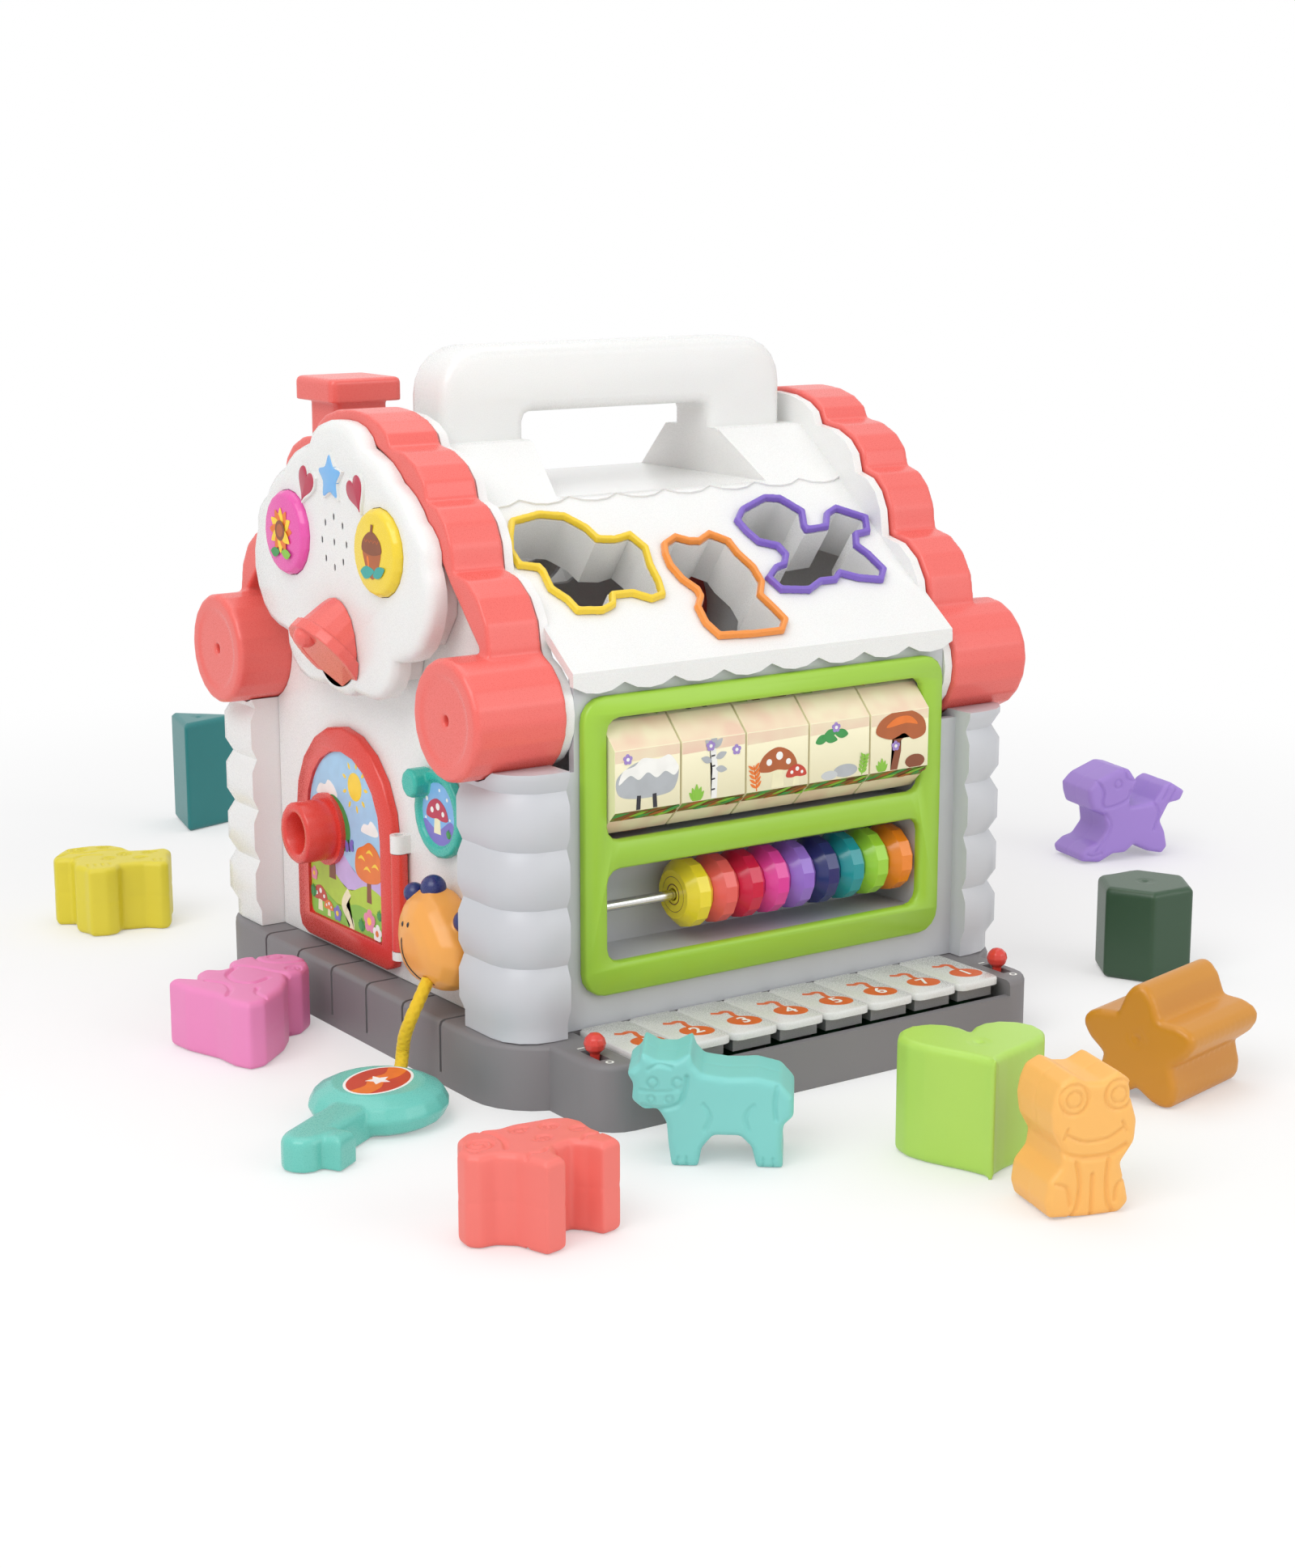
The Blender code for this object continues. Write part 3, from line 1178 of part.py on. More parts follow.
def gable_face():
    """Cloud plate: a board in front of the arch on a hollow boss inside it, with the buttons'
    bores, the speaker's slots and raised lights, a star and two hearts."""
    step = ARCH_FRONT - HOUSE_HALF_X
    mesh = bmesh.new()
    stack(mesh, crowned(plate_shape(PLATE_SHARES), step, PLATE_DEPTH, PLATE_EDGE))
    plate = place("gable_face", mesh, WHITE, (-HOUSE_HALF_X - GAP, 0, 0), DOOR_FACE)
    boss = bmesh.new()
    prism(boss, boss_outline(), 0, step + PLATE_EDGE / 4)
    shape_with(plate, boss, "UNION")
    hollow = bmesh.new()
    ceiling = PLATE_DEPTH - PLATE_SKIN
    prism(hollow, offset_path(boss_outline(), -PLATE_SKIN), -OVERRUN, ceiling)
    shape_with(plate, hollow, "DIFFERENCE")
    holes = bmesh.new()
    openings = [circle(side * BUTTON_Y, BUTTON_Z, BUTTON_RADIUS + GAP, ROUND_STEPS)
                for side in (-1, 1)]
    for x, z in [(0, SPEAKER_Z)] + circle(0, SPEAKER_Z, SLOT_RING, SLOT_COUNT, 90):
        openings.append([(x + u * SPEAKER_SLOT_WIDTH, z + v * SPEAKER_SLOT_HEIGHT)
                         for u, v in SLOT_SHARES])
    for shape in openings:
        prism(holes, shape, ceiling - OVERRUN, PLATE_DEPTH + OVERRUN)
    shape_with(plate, holes, "DIFFERENCE")
    lights = bmesh.new()
    root, crest = PLATE_DEPTH - PLATE_SKIN / 2, PLATE_DEPTH + LIGHT_THICK
    prism(lights, star(0, STAR_Z, STAR_RADIUS), root, crest)
    for side in (-1, 1):
        shape = [turn_point(x, y, -side * HEART_TILT) for x, y in
                 heart(HEART_WIDTH, HEART_HEIGHT, CORNER_STEPS * 3)]
        prism(lights, [(x + side * HEART_Y, y + HEART_Z) for x, y in shape], root, crest)
    shape_with(plate, lights, "UNION")


def face_button(name, y, colour):
    """Domed button with the flange that holds it behind the plate."""
    rest = PLATE_DEPTH - PLATE_SKIN - GAP
    front = PLATE_DEPTH + BUTTON_RISE
    profile = [(0, rest - FLANGE_THICK), (BUTTON_RADIUS + FLANGE_WIDTH, rest - FLANGE_THICK),
               (BUTTON_RADIUS + FLANGE_WIDTH, rest), (BUTTON_RADIUS, rest),
               (BUTTON_RADIUS, front - BUTTON_DOME),
               (BUTTON_RADIUS - BUTTON_DOME / 2, front - BUTTON_DOME / 4),
               (BUTTON_RADIUS / 2, front), (0, front)]
    mesh = bmesh.new()
    turned(mesh, profile, ROUND_STEPS)
    place(name, mesh, colour, (-HOUSE_HALF_X - GAP, y, BUTTON_Z), DOOR_FACE)


def bell_lever():
    """Half bell with a thick lip and a clapper knob, its flat back on the face plate."""
    mesh = bmesh.new()
    profile = [(0, BELL_RECESS), (BELL_RADIUS - BELL_LIP, BELL_RECESS),
               (BELL_RADIUS - BELL_LIP, 0), (BELL_RADIUS + BELL_LIP / 2, 0),
               (BELL_RADIUS + BELL_LIP / 2, BELL_LIP_HEIGHT),
               (BELL_RADIUS * math.sqrt(1 - BELL_LIP_SHARE ** 2), BELL_LIP_HEIGHT)]
    for i in range(2, BELL_ROWS):
        angle = math.pi / 2 * i / BELL_ROWS
        profile.append((BELL_RADIUS * math.cos(angle), BELL_LENGTH * math.sin(angle)))
    profile.append((0, BELL_LENGTH))
    tilt = math.atan2(BELL_TIP_RISE, BELL_TIP_OUT)
    mouth = Vector((0, BELL_MIDDLE_Z - BELL_PIVOT_Z, BELL_MIDDLE_OUT - BELL_PIVOT_OUT))
    frame = Matrix.Translation(mouth) @ Matrix.Rotation(-math.pi / 2 - tilt, 4, "X")
    turned(mesh, profile, ROUND_STEPS, frame)
    bell = place("bell_lever", mesh, CORAL,
                 (-HOUSE_HALF_X - GAP - PLATE_DEPTH - BELL_PIVOT_OUT, 0, BELL_PIVOT_Z), DOOR_FACE)
    knob = bmesh.new()
    ball(knob, frame @ Vector((0, -BELL_KNOB_REACH, BELL_RECESS - BELL_KNOB / 2)),
         (BELL_KNOB, BELL_KNOB, BELL_KNOB), 10, 6)
    shape_with(bell, knob, "UNION")
    back = bmesh.new()
    block(back, -BELL_LENGTH, BELL_LENGTH, -2 * BELL_LENGTH, BELL_LENGTH, -2 * BELL_LENGTH,
          GAP - BELL_PIVOT_OUT)
    shape_with(bell, back, "DIFFERENCE")


def door():
    """Arched door with a recessed picture panel, a ring handle and its hinge barrel. The object's
    origin is on the hinge axis."""
    mesh = bmesh.new()
    outer = door_outline(0)
    inner = door_outline(DOOR_FRAME)
    back = DOOR_BACK
    front = back + DOOR_THICK
    sections = crowned(outer, back, front, DOOR_EDGE, 1)
    rings = [ring(mesh, points, level, Matrix()) for points, level in sections]
    for lower, upper in zip(rings, rings[1:]):
        band(mesh, lower, upper)
    mesh.faces.new(rings[0])
    rim = ring(mesh, inner, front, Matrix())
    floor = ring(mesh, inner, front - DOOR_RECESS, Matrix())
    fill(mesh, [rings[-1], rim], [sections[-1][0], inner])
    band(mesh, floor, rim)
    mesh.faces.new(floor)
    for vertex in mesh.verts:
        vertex.co.x -= HINGE_U
        vertex.co.z -= HINGE_W
    leaf = place("door", mesh, CORAL, (-HOUSE_HALF_X - HINGE_W, -HINGE_U, 0), DOOR_FACE)

    handle = bmesh.new()
    seat = front - DOOR_RECESS - DOOR_SINK
    profile = [(0, seat), (RING_FLANGE, seat), (RING_FLANGE, seat + DOOR_SINK + RING_FLANGE_THICK),
               (RING_RADIUS, seat + DOOR_SINK + RING_FLANGE_THICK), (RING_RADIUS, RING_FRONT - DOOR_EDGE),
               (RING_RADIUS - DOOR_EDGE, RING_FRONT), (RING_BORE + DOOR_EDGE, RING_FRONT),
               (RING_BORE, RING_FRONT - DOOR_EDGE), (RING_BORE, RING_BORE_FLOOR),
               (0, RING_BORE_FLOOR)]
    frame = Matrix.Translation((RING_U - HINGE_U, RING_V, -HINGE_W))
    turned(handle, profile, ROUND_STEPS, frame)
    shape_with(leaf, handle, "UNION")

    barrel = bmesh.new()
    upright = Matrix(((1, 0, 0, 0), (0, 0, 1, 0), (0, 1, 0, 0), (0, 0, 0, 1)))
    pin_low, pin_high = LUG_LOW - HINGE_PIN_LENGTH, LUG_HIGH + HINGE_PIN_LENGTH
    steps = [(0, pin_low), (HINGE_PIN, pin_low), (HINGE_PIN, LUG_LOW), (HINGE_RADIUS, LUG_LOW),
             (HINGE_RADIUS, LUG_HIGH), (HINGE_PIN, LUG_HIGH), (HINGE_PIN, pin_high), (0, pin_high)]
    turned(barrel, steps, CORNER_STEPS * 2, upright)
    shape_with(leaf, barrel, "UNION")
    web = bmesh.new()
    block(web, DOOR_U + DOOR_HALF - HINGE_U - DOOR_SINK, -HINGE_RADIUS / 2, LUG_LOW + GAP,
          LUG_HIGH - GAP, DOOR_BACK + DOOR_EDGE / 2 - HINGE_W, DOOR_BACK + DOOR_THICK - DOOR_EDGE / 2
          - HINGE_W)
    shape_with(leaf, web, "UNION")


def window_dial():
    """Round window that turns on a shaft through the wall, with a knob at its edge."""
    front = GAP + DIAL_THICK
    mesh = bmesh.new()
    profile = [(0, -WALL - DIAL_SHAFT_PROUD), (DIAL_SHAFT, -WALL - DIAL_SHAFT_PROUD),
               (DIAL_SHAFT, GAP), (DIAL_RADIUS, GAP), (DIAL_RADIUS, front - DOOR_EDGE),
               (DIAL_RADIUS - DOOR_EDGE, front), (DIAL_RADIUS - DIAL_RING + DOOR_EDGE, front),
               (DIAL_RADIUS - DIAL_RING, front - DIAL_RECESS), (0, front - DIAL_RECESS)]
    turned(mesh, profile, ROUND_STEPS)
    dial = place("window_dial", mesh, "3fbfae", (-HOUSE_HALF_X, -DIAL_U, DIAL_V), DOOR_FACE)
    knob = bmesh.new()
    profile = [(0, GAP + GAP), (DIAL_KNOB, GAP + GAP), (DIAL_KNOB, DIAL_KNOB_FRONT - DOOR_EDGE),
               (DIAL_KNOB - DOOR_EDGE, DIAL_KNOB_FRONT), (0, DIAL_KNOB_FRONT)]
    turned(knob, profile, CORNER_STEPS * 2, Matrix.Translation((-DIAL_KNOB_U, DIAL_KNOB_V, 0)))
    shape_with(dial, knob, "UNION")


def animal_head():
    """Long-faced head with a tuft and an ear, flat against the wall; the cord leaves its mouth."""
    mesh = bmesh.new()
    shape = scaled(HEAD_SHARES, HEAD_WIDTH, HEAD_HEIGHT)
    sections = []
    for size, out in HEAD_SECTION_SHARES:
        sections.append(([(x * size, y * size) for x, y in shape], GAP + HEAD_DEPTH * out))
    stack(mesh, sections)
    head = place("animal_head", mesh, "f5a349", (-HOUSE_HALF_X, -HEAD_U, HEAD_V), DOOR_FACE)
    extras = bmesh.new()
    for across, up, out, size in HEAD_LOBE_SHARES:
        reach = HEAD_WIDTH * size
        ball(extras, (HEAD_WIDTH * across, HEAD_HEIGHT * up, HEAD_DEPTH * out),
             (reach, reach, reach), 10, 6)
    shape_with(head, extras, "UNION")
    mouth = bmesh.new()
    start = Vector(CORD_ROUTE[0])
    run = (Vector(CORD_ROUTE[1]) - start).normalized()
    local = Matrix.Translation((-HOUSE_HALF_X, -HEAD_U, HEAD_V)) @ head_rotation()
    frame = local.inverted() @ Matrix.Translation(start - run * GAP) @ run.to_track_quat(
        "Z", "Y").to_matrix().to_4x4()
    prism(mouth, circle(0, 0, CORD_RADIUS + CORD_BORE_MARGIN, CORNER_STEPS * 2), 0, HEAD_DEPTH,
          frame)
    shape_with(head, mouth, "DIFFERENCE")


def head_rotation():
    return Matrix.Rotation(DOOR_FACE[2], 4, "Z") @ Matrix.Rotation(DOOR_FACE[0], 4, "X")


def smooth_route(points, steps):
    """Points along a smooth curve through the route's own points."""
    ends = [points[0], *points, points[-1]]
    route = []
    for a, b, c, d in zip(ends, ends[1:], ends[2:], ends[3:]):
        a, b, c, d = (Vector(p) for p in (a, b, c, d))
        for i in range(steps):
            t = i / steps
            route.append(((2 * b) + (c - a) * t + (2 * a - 5 * b + 4 * c - d) * t ** 2
                          + (3 * b - a - 3 * c + d) * t ** 3) / 2)
    return route + [Vector(points[-1])]


def cord():
    curve = bpy.data.curves.new("cord", "CURVE")
    curve.dimensions = "3D"
    curve.bevel_depth = CORD_RADIUS
    curve.bevel_resolution = 2
    curve.use_fill_caps = True
    route = smooth_route(CORD_ROUTE, CORD_STEPS)
    spline = curve.splines.new("POLY")
    spline.points.add(len(route) - 1)
    for point, spot in zip(spline.points, route):
        point.co = (*spot, 1)
    item = bpy.data.objects.new("cord", curve)
    bpy.context.scene.collection.objects.link(item)
    curve.materials.append(material("cord", "f3c716", 0.8, 0))


def toy_key():
    """Rounded key lying on the floor, with a socket where the cord goes in."""
    mesh = bmesh.new()
    half = KEY_DISC_THICK / 2
    profile = [(0, 0), (KEY_DISC - half, 0), (KEY_DISC - half * KEY_SOFT_SHARE, half / 3),
               (KEY_DISC, half), (KEY_DISC - half * KEY_SOFT_SHARE, KEY_DISC_THICK - half / 3),
               (KEY_DISC - half, KEY_DISC_THICK), (KEY_LABEL, KEY_DISC_THICK),
               (KEY_LABEL, KEY_DISC_THICK + KEY_LABEL_RISE),
               (0, KEY_DISC_THICK + KEY_LABEL_RISE)]
    turned(mesh, profile, ROUND_STEPS)
    key = place("toy_key", mesh, "5cc4b8", (KEY_PLACE_X, KEY_PLACE_Y, 0), (0, 0, KEY_TURN))
    stem = bmesh.new()
    shape = [(KEY_DISC / 2, -KEY_STEM_HALF), (KEY_REACH - KEY_STEM_HALF, -KEY_STEM_HALF)]
    shape += arc(KEY_REACH - KEY_STEM_HALF, 0, KEY_STEM_HALF, -60, 60, CORNER_STEPS - 1)
    shape += [(KEY_REACH - KEY_STEM_HALF, KEY_STEM_HALF),
              (KEY_BIT_X + KEY_BIT_HALF, KEY_STEM_HALF),
              (KEY_BIT_X + KEY_BIT_HALF, KEY_BIT_REACH), (KEY_BIT_X - KEY_BIT_HALF, KEY_BIT_REACH),
              (KEY_BIT_X - KEY_BIT_HALF, KEY_STEM_HALF), (KEY_DISC / 2, KEY_STEM_HALF)]
    stack(stem, crowned(shape, GAP, KEY_STEM_THICK, KEY_STEM_EDGE))
    shape_with(key, stem, "UNION")
    socket = bmesh.new()
    end = Vector(CORD_ROUTE[-1])
    run = (Vector(CORD_ROUTE[-2]) - end).normalized()
    local = (Matrix.Translation((KEY_PLACE_X, KEY_PLACE_Y, 0)) @ Matrix.Rotation(KEY_TURN, 4, "Z"))
    frame = local.inverted() @ Matrix.Translation(end - run * GAP) @ run.to_track_quat(
        "Z", "Y").to_matrix().to_4x4()
    prism(socket, circle(0, 0, CORD_RADIUS + CORD_BORE_MARGIN, CORNER_STEPS * 2), 0, KEY_DISC / 2,
          frame)
    shape_with(key, socket, "DIFFERENCE")


# Piano side


def activity_frame():
    mesh = bmesh.new()
    outline = rounded_box(-FRAME_HALF_X, FRAME_HALF_X, FRAME_LOW, FRAME_HIGH, FRAME_CORNER, 4)
    windows = [rounded_box(-WINDOW_HALF_X, WINDOW_HALF_X, low, high, WINDOW_CORNER, 3)
               for low, high in ((WINDOW_1_LOW, WINDOW_1_HIGH), (WINDOW_2_LOW, WINDOW_2_HIGH))]
    front = GAP + FRAME_THICK
    loops = [(outline, -FRAME_EDGE)] + [(window, FRAME_EDGE) for window in windows]
    back_rings = [ring(mesh, loop, GAP, Matrix()) for loop, inset in loops]
    side_rings = [ring(mesh, loop, front - FRAME_EDGE, Matrix()) for loop, inset in loops]
    face_shapes = [offset_path(loop, inset) for loop, inset in loops]
    face_rings = [ring(mesh, loop, front, Matrix()) for loop in face_shapes]
    for low, mid, high in zip(back_rings, side_rings, face_rings):
        band(mesh, low, mid)
        band(mesh, mid, high)
    fill(mesh, back_rings, [loop for loop, inset in loops])
    fill(mesh, face_rings, face_shapes)
    place("activity_frame", mesh, LEAF_GREEN, (0, -HOUSE_HALF_Y, 0), FRONT_FACE)


def activity_rods():
    """Axle of the picture tiles and rod of the abacus."""
    for name, radius, y, z in (("tile_axle", AXLE_RADIUS, AXLE_Y, AXLE_Z),
                               ("abacus_rod", ROD_RADIUS, ROD_Y, ROD_Z)):
        mesh = bmesh.new()
        prism(mesh, circle(0, 0, radius, CORNER_STEPS * 2), GAP - BAY_HALF_X, BAY_HALF_X - GAP,
              ALONG_X)
        place(name, mesh, STEEL, (0, y, z), roughness=0.25, metallic=1)


def picture_tiles():
    """Five eight-sided rollers on the axle."""
    width = TILE_PITCH - TILE_CLEARANCE
    half = TILE_SIDE / 2
    flat = half - TILE_CHAMFER
    shape = [(half, -flat), (half, flat), (flat, half), (-flat, half), (-half, flat),
             (-half, -flat), (-flat, -half), (flat, -half)]
    mesh = bmesh.new()
    bore = circle(0, 0, AXLE_RADIUS + GAP, CORNER_STEPS * 2)
    prism(mesh, shape, -width / 2, width / 2, ALONG_X, holes=[bore])
    data = mesh_data("picture_tile", mesh)
    for i in range(TILE_COUNT):
        x = (i - (TILE_COUNT - 1) / 2) * TILE_PITCH
        tile = data.copy()
        place(f"picture_tile_{i + 1}", tile, "f3eccb", (x, AXLE_Y, AXLE_Z))


def abacus_rings():
    """Nine faceted rings, all pushed to the right end of the rod."""
    mesh = bmesh.new()
    half = RING_WIDTH / 2
    bore = ROD_RADIUS + ABACUS_BORE_MARGIN
    right = [(bore, half), (RING_OUTER * ABACUS_FACE_SHARE, half),
             (RING_OUTER, half * ABACUS_EDGE_SHARE)]
    profile = [(radius, -x) for radius, x in right] + right[::-1]
    turned(mesh, profile, ABACUS_SIDES, ALONG_X, closed=True)
    data = mesh_data("abacus_ring", mesh)
    for i, colour in enumerate(RING_COLOURS):
        x = BAY_HALF_X - GAP - half - (len(RING_COLOURS) - 1 - i) * (RING_WIDTH + GAP)
        place(f"abacus_ring_{i + 1}", data.copy(), colour, (x, ROD_Y, ROD_Z), roughness=0.25)


def key_x(i):
    return (i - (KEY_COUNT - 1) / 2) * KEY_PITCH


def piano_keys():
    """Eight keys, each a rounded plate on a narrower block with its hinge barrel at the back."""
    half = (KEY_PITCH - KEY_CLEARANCE) / 2
    front = KEY_FRONT_Y - KEY_AXIS_Y
    top = KEY_TOP - KEY_AXIS_Z
    under = top - KEY_PLATE_THICK
    plate = (arc(-half + KEY_CORNER, front + KEY_CORNER, KEY_CORNER, 180, 270, 3)
             + arc(half - KEY_CORNER, front + KEY_CORNER, KEY_CORNER, 270, 360, 3)
             + [(half, 0), (-half, 0)])
    mesh = bmesh.new()
    stack(mesh, crowned(plate, under, top, KEY_EDGE, 1))
    data = mesh_data("piano_key", mesh)
    body = bmesh.new()
    barrel = arc(0, 0, KEY_BARREL, 180, 360, CORNER_STEPS) + [(KEY_BARREL, top - KEY_EDGE)]
    inset = front + KEY_SET_BACK
    profile = ([(inset, top - KEY_EDGE), (inset, KEY_BLOCK_LOW - KEY_AXIS_Z),
                (-KEY_BLOCK_REAR, KEY_BLOCK_LOW - KEY_AXIS_Z), (-KEY_BLOCK_REAR, under - KEY_EDGE)]
               + barrel)
    prism(body, profile, -KEY_BLOCK_HALF, KEY_BLOCK_HALF, ACROSS_X)
    tool = mesh_data("piano_key_block", body)
    for i in range(KEY_COUNT):
        key = place(f"piano_key_{i + 1}", data.copy(), WHITE, (key_x(i), KEY_AXIS_Y, KEY_AXIS_Z))
        block_mesh = bmesh.new()
        block_mesh.from_mesh(tool)
        shape_with(key, block_mesh, "UNION")


def slide_switches():
    """Red ball on a stem in each slot of the apron."""
    for name, side in (("volume_slide", -1), ("mode_slide", 1)):
        mesh = bmesh.new()
        half = SLOT_HALF_WIDTH - GAP
        low = SLOT_FLOOR + GAP
        profile = [(0, low), (half, low), (half, SLIDE_BALL_Z - SLIDE_BALL * SLIDE_NECK_SHARE)]
        for i in range(1, 5):
            angle = -math.pi / 3 + math.pi * 5 / 6 * i / 5
            profile.append((SLIDE_BALL * math.cos(angle), SLIDE_BALL_Z + SLIDE_BALL * math.sin(angle)))
        profile.append((0, SLIDE_BALL_Z + SLIDE_BALL))
        turned(mesh, profile, CORNER_STEPS * 2)
        place(name, mesh, "e0453c", (side * SLIDE_X, SLIDE_Y, 0))


# Loose shape blocks


def block_shape(name):
    """Outline of a block about its middle."""
    form, width, height, thick = BLOCKS[name]
    if form == "heart":
        return heart(width, height, HEART_BLOCK_STEPS)
    if form == "flower":
        corners = circle(0, 0, width * FLOWER_WAIST_SHARE / 2, FLOWER_PETAL_COUNT,
                         90 + 180 / FLOWER_PETAL_COUNT)
        bulge = width / 2 * (1 - FLOWER_WAIST_SHARE * math.cos(math.pi / FLOWER_PETAL_COUNT))
        return lobes(corners + corners[:1], bulge, FLOWER_POINTS)[:-1]
    if form == "hexagon":
        return circle(0, 0, width / 2 / math.cos(math.pi / 6), 6, 0)
    if form == "triangle":
        return circle(0, 0, width / math.sqrt(3), 3, 90)
    return scaled(form, width, height)


def opening(name, x, y):
    """Outline of the opening that a block passes, at its place on a face."""
    return [(u + x, v + y) for u, v in offset_path(block_shape(name), BLOCK_CLEARANCE)]


def shape_blocks():
    """Ten blocks: each outline has its thickness, softened edges and, on the animals, a parting
    line round the middle."""
    for name, (form, width, height, thick) in BLOCKS.items():
        outline = block_shape(name)
        mesh = bmesh.new()
        sections = crowned(outline, 0, thick, BLOCK_EDGE, 1, True)
        if not isinstance(form, str):
            middle = thick / 2
            groove = offset_path(outline, -PARTING_DEPTH)
            sections[2:2] = [(outline, middle - PARTING_DEPTH), (groove, middle),
                             (outline, middle + PARTING_DEPTH)]
        stack(mesh, sections)
        colour, x, y, lean, turn = BLOCK_PLACES[name]
        standing = lean == "stand"
        tilt = math.pi / 2 if standing else 0
        low = min(v for u, v in outline) if standing else 0
        place(name, mesh, colour, (x, y, -low), (tilt, 0, math.radians(turn)), roughness=0.5)


def main():
    for item in list(bpy.data.objects):
        bpy.data.objects.remove(item, do_unlink=True)
    base_tray()
    battery_cover()
    contact_board()
    front_wall()
    rear_wall()
    gable_walls()
    roof_shell()
    roof_rims()
    roof_arches()
    chimney()
    gable_face()
    face_button("pink_button", BUTTON_Y, "ee5fb0")
    face_button("yellow_button", -BUTTON_Y, "f6d93a")
    bell_lever()
    door()
    window_dial()
    animal_head()
    cord()
    toy_key()
    activity_frame()
    activity_rods()
    picture_tiles()
    abacus_rings()
    piano_keys()
    slide_switches()
    shape_blocks()
    bpy.context.view_layer.update()


main()
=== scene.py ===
"""Looks of the activity cube: studio, camera, materials, prints and finer surfaces."""
import json
import math

import bmesh
import bpy
from mathutils import Matrix, Vector
from mathutils.bvhtree import BVHTree

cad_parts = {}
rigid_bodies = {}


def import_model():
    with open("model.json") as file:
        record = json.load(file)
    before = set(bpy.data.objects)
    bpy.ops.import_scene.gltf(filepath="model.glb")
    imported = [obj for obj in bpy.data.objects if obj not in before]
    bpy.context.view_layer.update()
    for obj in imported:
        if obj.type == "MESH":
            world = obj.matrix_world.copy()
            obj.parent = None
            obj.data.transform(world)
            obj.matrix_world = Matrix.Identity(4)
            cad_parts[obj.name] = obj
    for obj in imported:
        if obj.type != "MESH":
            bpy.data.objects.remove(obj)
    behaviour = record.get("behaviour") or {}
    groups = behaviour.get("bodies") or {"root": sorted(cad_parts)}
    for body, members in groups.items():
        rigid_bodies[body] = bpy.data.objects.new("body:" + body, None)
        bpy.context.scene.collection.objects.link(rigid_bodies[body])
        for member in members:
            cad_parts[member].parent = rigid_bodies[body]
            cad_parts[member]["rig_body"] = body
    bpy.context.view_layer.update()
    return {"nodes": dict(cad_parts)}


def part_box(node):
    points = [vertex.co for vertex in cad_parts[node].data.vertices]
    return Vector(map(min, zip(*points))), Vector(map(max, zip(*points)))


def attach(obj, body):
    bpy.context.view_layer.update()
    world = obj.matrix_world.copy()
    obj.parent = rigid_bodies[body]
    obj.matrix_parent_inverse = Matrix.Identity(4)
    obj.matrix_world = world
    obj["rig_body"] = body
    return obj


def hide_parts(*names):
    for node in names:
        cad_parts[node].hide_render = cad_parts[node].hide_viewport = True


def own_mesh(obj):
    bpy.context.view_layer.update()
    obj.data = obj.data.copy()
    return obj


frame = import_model()
nodes = frame["nodes"]

MM = 0.001
# How far a print's form reaches down from its face, in millimetres
FILM_DEPTH = 0.12
# Door side: its wall, the face plate in millimetres out of the wall, and the bell's inner limit
WALL_X = -0.115
PLATE_OUT = 17.4
BELL_BACK_X = -0.1328
# Middle of the abacus rod
ROD_Y = -0.110
ROD_Z = 0.0728

# Camera at the photograph's place, view and lens
camera_data = bpy.data.cameras.new("camera")
camera = bpy.data.objects.new("camera", camera_data)
bpy.context.scene.collection.objects.link(camera)
camera.location = (-0.6527, -0.9827, 0.3587)
camera.rotation_euler = Vector((0.5536, 0.8035, -0.2190)).to_track_quat("-Z", "Y").to_euler()
camera_data.sensor_width = 36
camera_data.lens = 61.8
camera_data.clip_start = 0.01
camera_data.clip_end = 50
bpy.context.scene.camera = camera


# Small helpers


def linear(code):
    """Colour code to the linear values that a shader takes."""
    values = [int(code[i:i + 2], 16) / 255 for i in (0, 2, 4)]
    values = [v / 12.92 if v <= 0.04045 else ((v + 0.055) / 1.055) ** 2.4 for v in values]
    return (*values, 1)


def add(tree, kind, settings=None, links=None):
    """Add a node with its settings and what feeds its sockets."""
    node = tree.nodes.new("ShaderNode" + kind)
    for key, value in (settings or {}).items():
        if isinstance(key, str) and hasattr(node, key):
            setattr(node, key, value)
        else:
            node.inputs[key].default_value = value
    for key, source in (links or {}).items():
        tree.links.new(source, node.inputs[key])
    return node


def new_material(name):
    made = bpy.data.materials.new(name)
    made.use_nodes = True
    made.node_tree.nodes.clear()
    return made, made.node_tree


